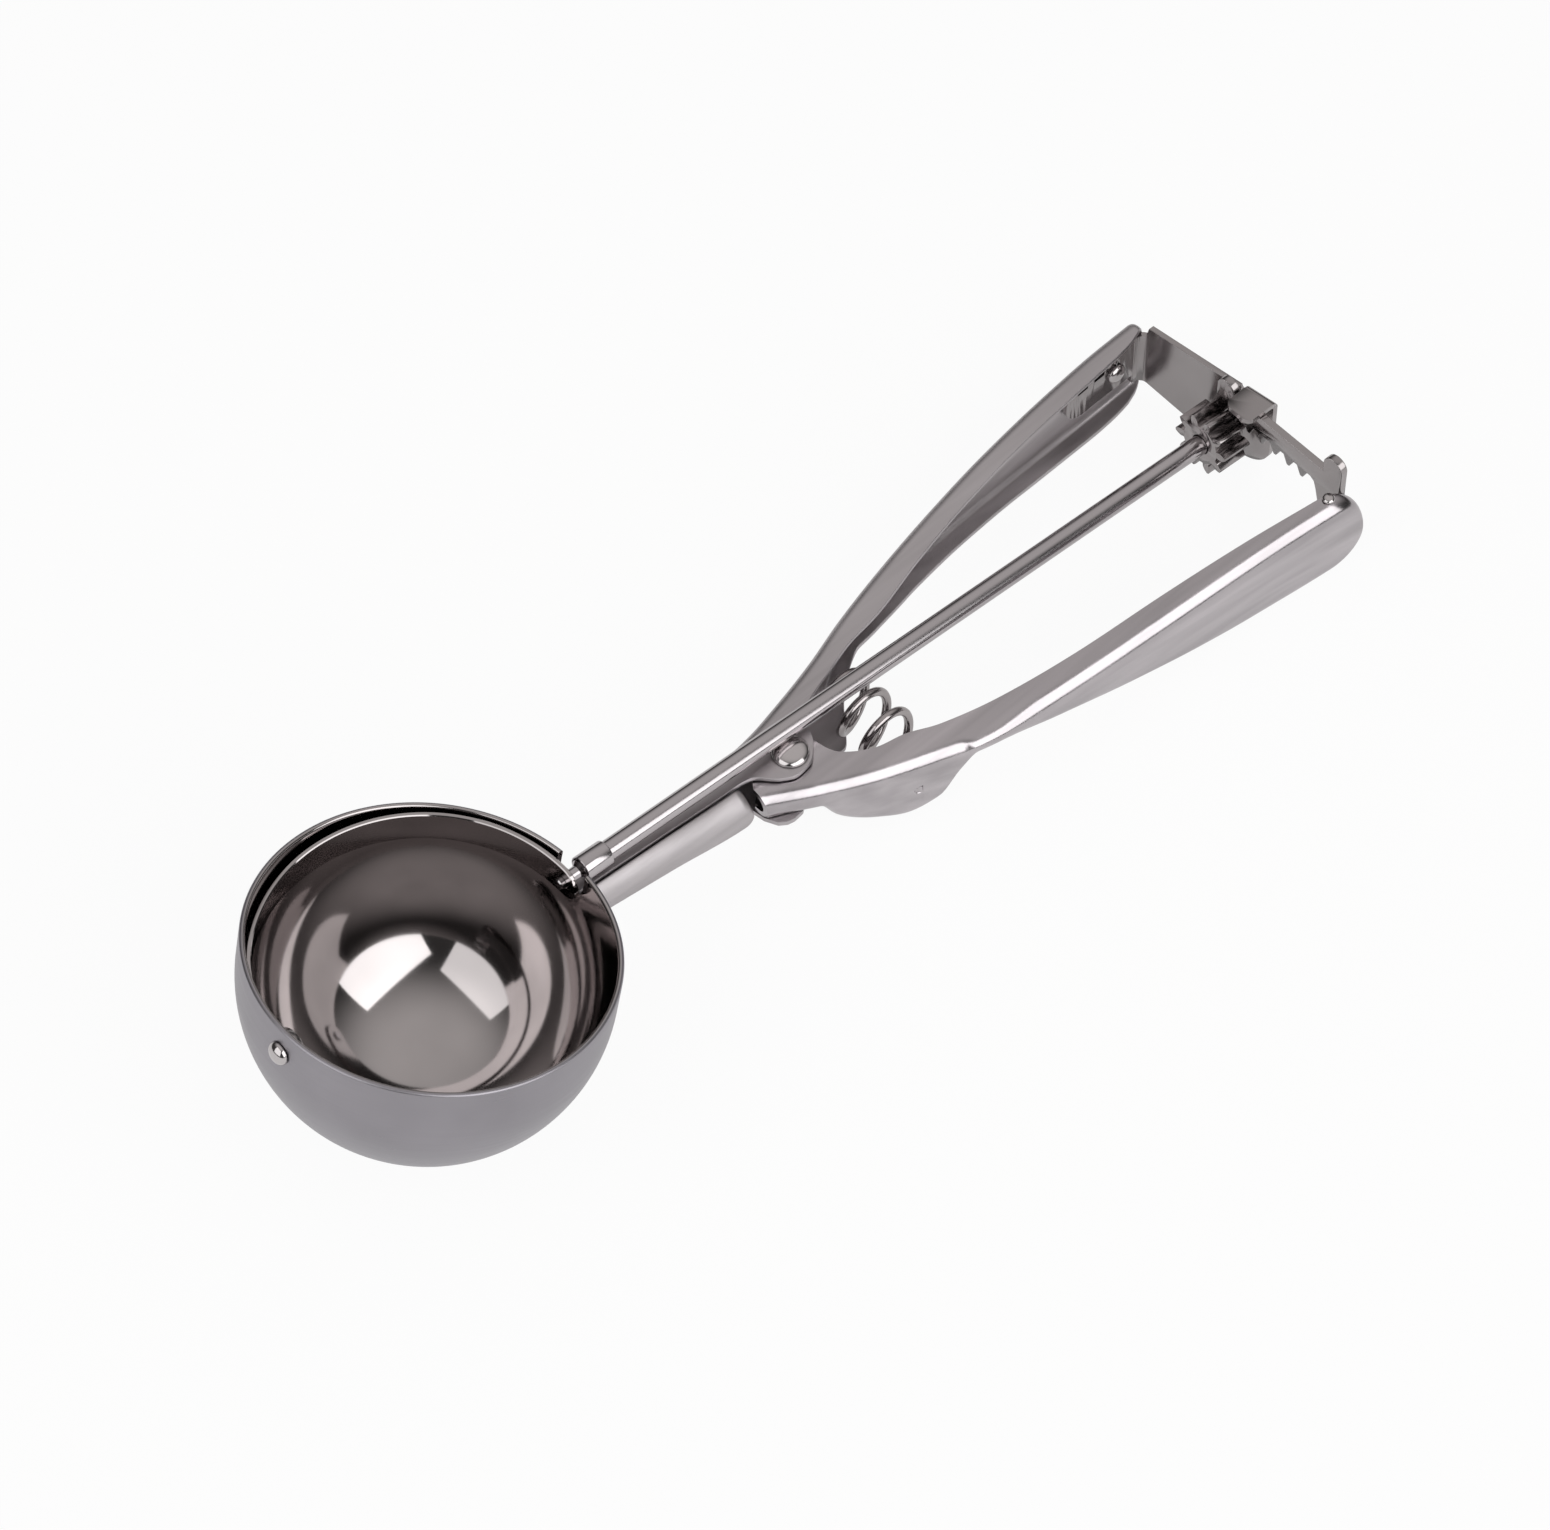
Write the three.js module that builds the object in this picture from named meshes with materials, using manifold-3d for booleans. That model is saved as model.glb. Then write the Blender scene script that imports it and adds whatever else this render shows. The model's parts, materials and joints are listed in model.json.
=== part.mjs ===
// An ice cream scoop with squeeze handles: a lever's rack turns a pinion, and its rod swings a scraper blade
// through the bowl. Millimetres, +Z up, +X from the bowl to the ends of the handles, lying on a table.
import * as THREE from "three";
import { mergeVertices } from "three/addons/utils/BufferGeometryUtils.js";
import Module from "manifold-3d";

const wasm = await Module();
wasm.setup();

const RAD = Math.PI / 180;

// Sheet and clearances
const SHEET = 1.0; // thickness of the stamped handles and bracket
const BEND_R = 2.0; // outer radius of the stamped bends
const SEAT = 0.15; // gap under a rivet head or round a fixed pin
const RUN = 0.3; // gap between pieces that move past each other

// Bowl: a half sphere with a straight collar above it, about the sphere's centre
const BOWL_R = 30;
const BOWL_WALL = 1.0;
const COLLAR = 6.9;
const BOWL_SEGMENTS = 48;
const BOWL_LEAN = 8 * RAD; // the rim's normal leans back from the rod's square
const SLOT_W = 6.4;

// Rod: its axis passes through the sphere's centre
const ROD_DROP = 5 * RAD; // the rod falls towards the rear, against the plane of the handles
const ROD_R = 1.75;
const ROD_TENON_R = 1.1;
const ROD_SHOULDER_X = BOWL_R + 0.6;
const FERRULE_R = 2.2;
const FERRULE_L = 5.4;

// Scraper blade: an arc of strip in a plane through the rod's axis
const BLADE_T = 0.8;
const BLADE_GAP = 0.6; // between the blade and the bowl's wall
const BLADE_R = BOWL_R - BOWL_WALL - BLADE_GAP - BLADE_T / 2;
const BLADE_FRONT_R = BLADE_R - 1.8; // drawn in to clear the front bearing
const BLADE_W = 6.5;
const BLADE_FRONT_W = 4.6;
const BLADE_REST = 3.4 * RAD; // above the horizontal, on the side of the fixed handle

// Front bearing inside the bowl, below the rim rivet
const FRONT_RIVET_Z = COLLAR - 5.0;
const FRONT_RIVET_R = 2.0;
const FRONT_SHANK_R = 0.9;
const HANGER_W = 6.0;
const HANGER_T = 1.4;
const PIN_R = 1.0;
const PIN_X = [-(BOWL_R - BOWL_WALL - 2 * RUN), -(BLADE_FRONT_R - 1.2)];

// Pivot of the lever, in the plane of the handles
const PIVOT = new THREE.Vector2(73.7, -2.4);
const PIVOT_SHANK_R = 1.6;
const PIVOT_HEAD_R = 2.8;
const EAR_TOP = -9.4; // top of the fixed handle's upper ear
const LEVER_TOP = EAR_TOP - SHEET - RUN;
const LEVER_EAR_BOTTOM = -16.2;
const LEVER_EAR_R = 4.6;
const EAR_BOTTOM = LEVER_EAR_BOTTOM - RUN - SHEET;
const REAR_TOP = -5.5; // top of both handles at REAR_X
const REAR_X = 170;
const LOW_EDGE = -23.3; // deepest edge of both handles, on which the rear rests
const LOW_X = 164;
const LEVER_END_X = 177;
const FIXED_END_X = 174.6;
const LEVER_END_R = 6;
const FIXED_END_R = 1.5;

// Rack and pinion
const MODULE = 1.0;
const PINION_TEETH = 10;
const PRESSURE = 25 * RAD;
const ADDENDUM = 0.85 * MODULE;
const DEDENDUM = 1.1 * MODULE;
const BACKLASH = 0.2; // taken off the thickness of every tooth
const PITCH_R = (MODULE * PINION_TEETH) / 2;
const PITCH = Math.PI * MODULE;
const TOOTH_T = PITCH / 2 - BACKLASH;
const PINION_X = [170.0, 176.0];
const RACK_X = 175.0; // front face of the rack plate
const RACK_T = 1.4;
const RACK_TOP = -5.2;
const RACK_SHIFT = 0.8; // of the rack's teeth towards the lever, met by a turn of the pinion
const RACK_TEETH = 7;

// Bracket band
const BAND_BACK_X = 178.2; // back face of the band at the rod
const BAND_SLANT = 7.07 * RAD; // the band leans forward towards the fixed handle
const BAND_Z = [-19.8, -7.8]; // at the handle
const BAND_TOP = -5.4;
const BAND_LOW = -22.3; // round the rod
const BAND_CORNER = 5.5;
const HOOK_Z = RACK_TOP + RUN; // underside of the hook
const TAB_Z = [-17.7, -8.3];
const HOOK_Y = [-7.9, -2.1];
const HOOK_FRONT_X = 172.2;

// Return spring
const SPRING_X = 90.8;
const SPRING_Z = -16.5;
const SPRING_R = 4.5;
const WIRE_R = 0.6;
const COILS = 3;
const COIL_STEPS = 10;
const WIRE_SIDES = 5;
const SPRING_Y = [5.2, -10.7]; // where the coils begin and end

// Steel finishes
const BRUSHED = { color: 0xa8a3a1, roughness: 0.34, metalness: 1 };
const POLISHED = { color: 0xb4afad, roughness: 0.16, metalness: 1 };
const SATIN = { color: 0x9a9694, roughness: 0.42, metalness: 1 };
const WIRE = { color: 0x8a8684, roughness: 0.24, metalness: 1 };

// A geometry as one indexed closed surface facing out, with merged points and no empty triangles.
function closed(geometry) {
  const bare = new THREE.BufferGeometry();
  bare.setAttribute("position", geometry.getAttribute("position"));
  bare.setIndex(geometry.index);
  const merged = mergeVertices(bare, 1e-4);
  const p = merged.getAttribute("position");
  const at = (i) => new THREE.Vector3().fromBufferAttribute(p, i);
  const kept = [];
  let volume = 0;
  for (let i = 0; i < merged.index.count; i += 3) {
    const [a, b, c] = [0, 1, 2].map((k) => merged.index.getX(i + k));
    if (a === b || b === c || c === a) continue;
    kept.push(a, b, c);
    volume += at(a).dot(at(b).cross(at(c)));
  }
  merged.setIndex(volume < 0 ? kept.reverse() : kept);
  return merged;
}

function solidOf(geometry) {
  const g = closed(geometry);
  const vertProperties = g.getAttribute("position").array;
  const triVerts = new Uint32Array(g.index.array);
  return new wasm.Manifold(new wasm.Mesh({ numProp: 3, vertProperties, triVerts }));
}

function geometryOf(solid) {
  const mesh = solid.getMesh();
  const g = new THREE.BufferGeometry();
  g.setAttribute("position", new THREE.BufferAttribute(Float32Array.from(mesh.vertProperties), 3));
  g.setIndex(new THREE.BufferAttribute(Uint32Array.from(mesh.triVerts), 1));
  g.computeVertexNormals();
  return g;
}

// Joins, cuts and crossings of whole geometries.
const join = (...parts) => geometryOf(parts.map(solidOf).reduce((a, b) => a.add(b)));
const cut = (part, ...tools) => geometryOf(tools.map(solidOf).reduce((a, b) => a.subtract(b), solidOf(part)));
const common = (a, b) => geometryOf(solidOf(a).intersect(solidOf(b)));

// A smooth function of x through [x, value] points, with no swing past them.
function through(points) {
  const slopes = points.map((p, i) => {
    if (i === 0 || i === points.length - 1) return 0;
    const [a, b] = [points[i - 1], points[i + 1]];
    const before = (p[1] - a[1]) / (p[0] - a[0]);
    const after = (b[1] - p[1]) / (b[0] - p[0]);
    return before * after <= 0 ? 0 : (2 * before * after) / (before + after);
  });
  const last = points.length - 1;
  slopes[0] = (points[1][1] - points[0][1]) / (points[1][0] - points[0][0]);
  slopes[last] = (points[last][1] - points[last - 1][1]) / (points[last][0] - points[last - 1][0]);
  return (x) => {
    if (x <= points[0][0]) return points[0][1] + slopes[0] * (x - points[0][0]);
    if (x >= points[last][0]) return points[last][1] + slopes[last] * (x - points[last][0]);
    const i = points.findIndex((p) => p[0] > x) - 1;
    const [x0, v0] = points[i];
    const [x1, v1] = points[i + 1];
    const h = x1 - x0;
    const t = (x - x0) / h;
    const rise = v0 * (1 + 2 * t) * (1 - t) ** 2 + v1 * t * t * (3 - 2 * t);
    return rise + h * (slopes[i] * t * (1 - t) ** 2 - slopes[i + 1] * t * t * (1 - t));
  };
}

// count + 1 evenly spaced values.
function steps(from, to, count) {
  return Array.from({ length: count + 1 }, (_, i) => from + ((to - from) * i) / count);
}

// A body through matching rings of points; each ring's outline is its flat form, used to close the two ends.
function loft(rings) {
  const n = rings[0].points.length;
  const index = [];
  rings.slice(1).forEach((_, r) => {
    for (let j = 0; j < n; j++) {
      const [a, b] = [r * n + j, r * n + ((j + 1) % n)];
      index.push(a, b, b + n, a, b + n, a + n);
    }
  });
  [0, rings.length - 1].forEach((r) => {
    const outline = rings[r].outline;
    const turn = Math.sign(THREE.ShapeUtils.area(outline)) * (r ? 1 : -1);
    THREE.ShapeUtils.triangulateShape(outline, []).forEach((face) => {
      const [a, b, c] = face.map((k) => outline[k]);
      const sense = Math.sign((b.x - a.x) * (c.y - a.y) - (b.y - a.y) * (c.x - a.x));
      const ordered = sense === turn ? face : [...face].reverse();
      index.push(...ordered.map((k) => r * n + k));
    });
  });
  const g = new THREE.BufferGeometry();
  const values = rings.flatMap((r) => r.points).flatMap((p) => p.toArray());
  g.setAttribute("position", new THREE.Float32BufferAttribute(values, 3));
  g.setIndex(index);
  return g;
}

// Solids of revolution and extrusions along an axis.
function lathe(profile, segments = 24) {
  return new THREE.LatheGeometry(profile.map(([r, h]) => new THREE.Vector2(r, h)), segments);
}
const latheX = (profile, segments) => closed(lathe(profile, segments).rotateZ(-Math.PI / 2));
const latheZ = (profile, segments) => closed(lathe(profile, segments).rotateX(Math.PI / 2));
const rodX = (r, x0, x1, segments) => latheX([[0, x0], [r, x0], [r, x1], [0, x1]], segments);
const rodZ = (r, z0, z1, segments) => latheZ([[0, z0], [r, z0], [r, z1], [0, z1]], segments);

const shapeOf = (points) => new THREE.Shape(points.map(([a, b]) => new THREE.Vector2(a, b)));

function extrude(outline, depth) {
  const shape = outline instanceof THREE.Shape ? outline : shapeOf(outline);
  return new THREE.ExtrudeGeometry(shape, { depth, bevelEnabled: false, curveSegments: 8 });
}
const extrudeZ = (outline, z0, z1) => closed(extrude(outline, z1 - z0).translate(0, 0, z0));
const YZ_PLANE = new THREE.Matrix4().makeBasis(
  new THREE.Vector3(0, 1, 0),
  new THREE.Vector3(0, 0, 1),
  new THREE.Vector3(1, 0, 0),
);
function extrudeX(outline, x0, x1) {
  return closed(extrude(outline, x1 - x0).applyMatrix4(YZ_PLANE).translate(x0, 0, 0));
}

// Points of an arc, as [x, y] pairs.
function arc(x, y, r, from, to, count) {
  return steps(from, to, count).map((a) => [x + r * Math.cos(a), y + r * Math.sin(a)]);
}

// A round-headed rivet along +z: head on top of `top`, shank down to `bottom`, a flatter closed head below.
const LOW_HEAD_H = 0.8;

function rivet(shankR, headR, headH, top, bottom, lowHeadR) {
  const dome = steps(0, Math.PI / 2, 4).map((a) => [headR * Math.cos(a), top + headH * Math.sin(a)]);
  const under = bottom - LOW_HEAD_H;
  const low = [[0, under], [lowHeadR * 0.8, under], [lowHeadR, under + LOW_HEAD_H / 2], [lowHeadR, bottom]];
  return latheZ([...low, [shankR, bottom], [shankR, top], ...dome], 20);
}

// Bowl

// Points of the bowl's profile at a radius, from the bottom on the axis up to a height on the collar.
function bowlWall(r, top) {
  return [...arc(0, 0, r, -Math.PI / 2, 0, 10), [r, top]];
}
const bowlFill = (r, top) => latheZ([...bowlWall(r, top), [0, top]], BOWL_SEGMENTS);

// The rod's axis crosses the bowl's frame at this height.
const rodHeight = (x) => Math.tan(BOWL_LEAN) * x;

function bowlGeometry() {
  const inner = BOWL_R - BOWL_WALL;
  const edge = BOWL_WALL / 4;
  const rim = [[BOWL_R - edge, COLLAR], [inner + edge, COLLAR]];
  const profile = [...bowlWall(BOWL_R, COLLAR - edge), ...rim, ...bowlWall(inner, COLLAR - edge).reverse()];
  const z = rodHeight(BOWL_R);
  const slot = new THREE.Shape();
  slot.moveTo(SLOT_W / 2, COLLAR + 2);
  slot.lineTo(-SLOT_W / 2, COLLAR + 2);
  slot.lineTo(-SLOT_W / 2, z);
  slot.absarc(0, z, SLOT_W / 2, Math.PI, 2 * Math.PI, false);
  const rivetHole = rodX(FRONT_SHANK_R + SEAT, -BOWL_R - 2, -BOWL_R + 3, 12).translate(0, 0, FRONT_RIVET_Z);
  return cut(latheZ(profile, BOWL_SEGMENTS), extrudeX(slot, BOWL_R - 5, BOWL_R + 5), rivetHole);
}

const HANGER_BACK = -BOWL_R + BOWL_WALL + RUN; // face of the hanger against the wall
const HANGER_FRONT = HANGER_BACK + HANGER_T;

function hangerGeometry() {
  const low = rodHeight(HANGER_FRONT);
  const shape = new THREE.Shape();
  shape.absarc(0, FRONT_RIVET_Z, HANGER_W / 2, 0, Math.PI, false);
  shape.absarc(0, low, HANGER_W / 2, Math.PI, 2 * Math.PI, false);
  const plate = common(extrudeX(shape, HANGER_BACK, HANGER_FRONT), bowlFill(-HANGER_BACK, COLLAR));
  const rivetHole = rodX(FRONT_SHANK_R + SEAT, -BOWL_R, -BOWL_R + 6, 12).translate(0, 0, FRONT_RIVET_Z);
  const pinHole = rodX(PIN_R + SEAT, -BOWL_R, -BOWL_R + 6, 16).rotateY(-BOWL_LEAN);
  return cut(plate, rivetHole, pinHole);
}

function frontRivetGeometry() {
  const g = rivet(FRONT_SHANK_R, FRONT_RIVET_R, 1.3, BOWL_R + SEAT, -HANGER_FRONT - SEAT, 1.5);
  return g.rotateY(-Math.PI / 2).translate(0, 0, FRONT_RIVET_Z);
}

// Scraper

function bladeGeometry() {
  const reach = BLADE_W / 2 / BLADE_R;
  const frontReach = BLADE_FRONT_W / 2 / BLADE_FRONT_R;
  const radius = through([[0, BLADE_R], [130, BLADE_R], [180, BLADE_FRONT_R], [190, BLADE_FRONT_R]]);
  const width = through([[0, BLADE_W], [90, BLADE_W], [150, BLADE_FRONT_W], [180, BLADE_FRONT_W]]);
  const roundEnd = (past, end) => Math.sqrt(Math.max(0.02, 1 - (past / end) ** 2));
  const angles = [
    ...steps(-0.99, 0, 6).map((k) => reach * Math.sin((k * Math.PI) / 2)),
    ...steps(0, Math.PI, 30).slice(1, -1),
    ...steps(0, 0.99, 6).map((k) => Math.PI + frontReach * Math.sin((k * Math.PI) / 2)),
  ];
  const rings = angles.map((a) => {
    const deg = a / RAD;
    let w = width(Math.min(Math.max(deg, 0), 180)) / 2;
    if (a < 0) w *= roundEnd(-a, reach);
    if (a > Math.PI) w *= roundEnd(a - Math.PI, frontReach);
    const corners = [[-1, -1], [1, -1], [1, 1], [-1, 1]];
    const points = corners.map(([side, out]) => {
      const r = radius(deg) + (out * BLADE_T) / 2;
      return new THREE.Vector3(r * Math.cos(a), r * Math.sin(a), side * w);
    });
    return { points, outline: corners.map(([side, out]) => new THREE.Vector2(side * w, out * BLADE_T)) };
  });
  const rear = rodX(ROD_TENON_R + SEAT, BLADE_R - 4, BLADE_R + 4, 16);
  const front = rodX(PIN_R + RUN, -BLADE_FRONT_R - 4, -BLADE_FRONT_R + 4, 16);
  return cut(loft(rings), rear, front).rotateX(BLADE_REST);
}

function pinionShape() {
  const base = PITCH_R * Math.cos(PRESSURE);
  const tip = PITCH_R + ADDENDUM;
  const root = PITCH_R - DEDENDUM;
  const involute = (a) => Math.tan(a) - a;
  const baseHalf = TOOTH_T / (2 * PITCH_R) + involute(PRESSURE);
  const flank = steps(base, tip, 3).map((r) => [r, baseHalf - involute(Math.acos(base / r))]);
  const tooth = [[root, baseHalf], ...flank];
  const outline = [];
  for (let k = 0; k < PINION_TEETH; k++) {
    const middle = Math.PI / 2 + RACK_SHIFT / PITCH_R + (2 * Math.PI * k) / PINION_TEETH;
    const point = (r, a) => [r * Math.cos(a), r * Math.sin(a)];
    tooth.forEach(([r, a]) => outline.push(point(r, middle - a)));
    [...tooth].reverse().forEach(([r, a]) => outline.push(point(r, middle + a)));
  }
  return outline;
}

const END_HEAD_X = BAND_BACK_X + 1.7;
const END_HEAD_R = 2.9;
const END_HEAD_T = 0.8;
const ROD_END_X = END_HEAD_X + 1.2;

function rodGeometry() {
  const profile = [
    [0, BLADE_R - 1.4],
    [ROD_TENON_R, BLADE_R - 1.2],
    [ROD_TENON_R, ROD_SHOULDER_X],
    [ROD_R, ROD_SHOULDER_X + 0.6],
    [ROD_R, ROD_END_X - 0.4],
    [ROD_R - 0.4, ROD_END_X],
    [0, ROD_END_X],
  ];
  return latheX(profile, 20);
}

function tube(outer, inner, x0, x1, chamfer) {
  const front = [[inner, x0], [outer - chamfer, x0], [outer, x0 + chamfer]];
  const back = [[outer, x1 - chamfer], [outer - chamfer, x1], [inner, x1], [inner, x0]];
  return latheX([...front, ...back], 20);
}

// Handles

// Outline of a stamped channel in the y, z plane: its web at `web`, its flanges towards `side`.
function channelOutline({ web, side, top, bottom, topTip, bottomTip }) {
  const corner = (r, z, from, count) =>
    steps(from, from + Math.PI / 2, count).map((a) => {
      const away = web + side * (BEND_R + r * Math.cos(a));
      return [away, z + r * Math.sin(a)];
    });
  const inner = BEND_R - SHEET;
  const points = [
    [topTip, top],
    ...corner(BEND_R, top - BEND_R, Math.PI / 2, 4),
    ...corner(BEND_R, bottom + BEND_R, Math.PI, 4),
    [bottomTip, bottom],
    [bottomTip, bottom + SHEET],
    ...corner(inner, bottom + BEND_R, Math.PI, 3).reverse(),
    ...corner(inner, top - BEND_R, Math.PI / 2, 3).reverse(),
    [topTip, top - SHEET],
  ];
  return points.map(([y, z]) => new THREE.Vector2(y, z));
}

// A channel along x from its edge functions, its rear corners rounded off by `endR`.
function channel(xs, edges, side, endR) {
  const end = xs[xs.length - 1];
  const rings = xs.map((x) => {
    const past = Math.max(0, x - (end - endR));
    const inset = endR - Math.sqrt(Math.max(0, endR * endR - past * past));
    const web = edges.web(x);
    const least = web + side * (BEND_R + 0.3);
    const tip = (y) => (side > 0 ? Math.max(y, least) : Math.min(y, least));
    const outline = channelOutline({
      web,
      side,
      top: edges.top(x) - inset,
      bottom: edges.bottom(x) + inset,
      topTip: tip(edges.topTip(x)),
      bottomTip: tip(edges.bottomTip(x)),
    });
    return { outline, points: outline.map((p) => new THREE.Vector3(x, p.x, p.y)) };
  });
  return loft(rings);
}

// Stations along x that follow a rounded end.
function roundedEnd(end, r) {
  return [...steps(0, 0.96, 5).map((k) => end - r + r * Math.sin((k * Math.PI) / 2)), end];
}

const leverWeb = through([
  [65, -6.5], [73, -11.05], [82, -15.45], [92, -19.3], [98.5, -21.6], [104, -22.8],
  [118, -24.65], [138.6, -26.75], [160, -28.85], [177, -31.0],
]);
const leverBottom = through([
  [65, LEVER_EAR_BOTTOM], [73, LEVER_EAR_BOTTOM], [75.8, -20], [78.5, -22], [81.6, -23.4],
  [86.5, -24.8], [91.5, -23.1], [95, -17.3], [98, -14.1], [102, -14.1], [113.6, -16.2], [130, -19.7],
  [143, -21.9], [154, -23.0], [LOW_X, LOW_EDGE], [177, LOW_EDGE + 0.6],
]);
const leverFlange = [
  [86, -10.6], [90, -11.5], [95.8, -14.1], [106.5, -17.1], [122, -19.7],
  [138.5, -21.5], [154.8, -23.6], [166.8, -25.5], [172, -26.4], [177, -28.6],
];
const leverEdges = {
  web: leverWeb,
  top: through([[65, LEVER_TOP], [80, LEVER_TOP], [REAR_X, REAR_TOP], [177, -5.2]]),
  bottom: leverBottom,
  topTip: through([
    [65, -3.0], [67, -0.6], [69.5, 1.2], [73.7, 2.2], [77, 0.9], [78.3, -1.0], [79.3, -5.2],
    [80.2, -6.9], [84.5, -10.0], ...leverFlange,
  ]),
  bottomTip: through([[65, -3.4], [70, -5.0], [73, -7.0], [75, -8.6], [80, -9.8], ...leverFlange]),
};

const earPlate = (outline, z) => extrudeZ(outline, z, z + SHEET);
const pivotHole = rodZ(PIVOT_SHANK_R + RUN, -30, 0, 20).translate(PIVOT.x, PIVOT.y, 0);

// A dimple pressed into the outside of the lever's web, near the spring.
const DIMPLE = { x: 87.8, z: -18.0, r: 1.0, depth: 0.5 };

function dimple() {
  const cone = latheZ([[0, -DIMPLE.depth], [DIMPLE.r, 0.3], [0, 0.3]], 12);
  return cone.rotateX(Math.PI / 2).translate(DIMPLE.x, leverWeb(DIMPLE.x), DIMPLE.z);
}

function leverGeometry() {
  const xs = [
    ...steps(65, 80, 15),
    ...steps(81, 104, 18),
    ...steps(108, LEVER_END_X - LEVER_END_R - 3, 12),
    ...roundedEnd(LEVER_END_X, LEVER_END_R),
  ];
  const round = arc(PIVOT.x, PIVOT.y, LEVER_EAR_R, 2.4, -1.2, 12);
  const ear = [[65.4, -6], [65.4, -3], ...round, [73.4, -10.2], [70, -8.2]];
  const rackRivetHole = rodZ(RACK_RIVET_R + SEAT, -12, 0, 12).translate(RACK_RIVET.x, RACK_RIVET.y, 0);
  const body = join(channel(xs, leverEdges, 1, LEVER_END_R), earPlate(ear, LEVER_EAR_BOTTOM));
  return cut(body, pivotHole, rackRivetHole, dimple());
}

const NECK_X = BOWL_R - 3;
const NECK_END_X = 63.2;
const SEAM = [-2.0, -1.65];
const fixedWeb = through([
  [NECK_X, 3.0], [46, 3.3], [58, 3.9], [64, 4.35], [70.8, 5.05], [77.8, 6.5], [87.8, 9.05], [97.5, 12.1],
  [107.7, 14.7], [122, 17.6], [137.4, 20.0], [153.7, 21.6], [166.5, 22.3], [175, 22.4],
]);
const fixedTop = through([
  [NECK_X, -5.3], [46, -7.4], [63, -9.3], [66, EAR_TOP], [80, EAR_TOP], [REAR_X, REAR_TOP], [175, -5.3],
]);
const fixedBottom = through([
  [NECK_X, -11.6], [46, -14.4], [63.5, EAR_BOTTOM], [73, EAR_BOTTOM],
  [75.8, -20], [78.5, -22], [81.6, -23.4], [86.5, -24.6],
  [91.5, -22.6], [95, -17.3], [98, -14.1], [102, -14.1], [110.6, -15.7], [123, -18.1],
  [137, -20.6], [150, -22.4], [LOW_X, LOW_EDGE], [175, LOW_EDGE + 0.6],
]);
const fixedFlange = [
  [96, 7.1], [102.2, 8.0], [114.9, 11.3], [127.7, 14.0], [141.5, 16.0], [155.3, 17.2],
  [166.7, 18.0], [171, 18.6], [175, 20.1],
];
const EAR = [
  [65.7, -2.1], [69.1, -5.3], [71.8, -6.6], [74.7, -6.2], [77.2, -4.2], [78.6, -2.3], [79.0, -1.0],
];
const fixedEdges = {
  web: fixedWeb,
  top: fixedTop,
  bottom: fixedBottom,
  topTip: through([
    [NECK_X, SEAM[1]], [63, SEAM[1]], ...EAR, [80, 1.2], [82, 2.6], [85, 3.8], [88, 4.7], ...fixedFlange,
  ]),
  bottomTip: through([
    [NECK_X, -2.4], [62, -2.4], [66, -1.0], [74, 0.5], [79, 2.5], [85, 4.4], ...fixedFlange,
  ]),
};
const neckEdges = {
  web: through([[NECK_X, -4.2], [46, -4.9], [NECK_END_X, -5.3]]),
  top: fixedTop,
  bottom: fixedBottom,
  topTip: () => SEAM[0],
  bottomTip: () => -0.4,
};

function fixedGeometry() {
  const neckXs = steps(NECK_X, NECK_END_X - 2, 4);
  const xs = [
    ...neckXs,
    ...steps(NECK_END_X + 0.3, 82, 19),
    ...steps(83.5, 104, 15),
    ...steps(108, FIXED_END_X - FIXED_END_R - 3, 12),
    ...roundedEnd(FIXED_END_X, FIXED_END_R),
  ];
  const fold = channel([...neckXs, ...steps(NECK_END_X - 1.2, NECK_END_X, 4)], neckEdges, 1, 1.6);
  const ear = [[64, 3.9], [64, -1.6], ...EAR, [79.2, 6.0], [73, 4.9]];
  const bowl = bowlFill(BOWL_R + RUN, COLLAR + 5).rotateY(ROD_DROP + BOWL_LEAN);
  const body = join(channel(xs, fixedEdges, -1, FIXED_END_R), fold, earPlate(ear, EAR_BOTTOM));
  return cut(body, bowl, pivotHole, bracketHole());
}

// Rack: a flat plate across the handles, toothed on its lower edge, with a leg and a foot in the lever's end

const RACK_PITCH_Z = -(RACK_X + RACK_T / 2) * Math.tan(ROD_DROP) + PITCH_R / Math.cos(ROD_DROP);
const RACK_RIVET = new THREE.Vector2(171.6, -27.4);
const RACK_RIVET_R = 0.7;
const RACK_FOOT_TOP = -9.0;
const RACK_FOOT_EDGE_Y = -26.4;
const LEG_EDGE_Y = -21.4;
const LEG_BOTTOM = -18.6;
const CLOSING_EAR = { y: -24.7, z: -2.8, r: 2.1 };
const OPENING_EAR_R = 2;

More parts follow.
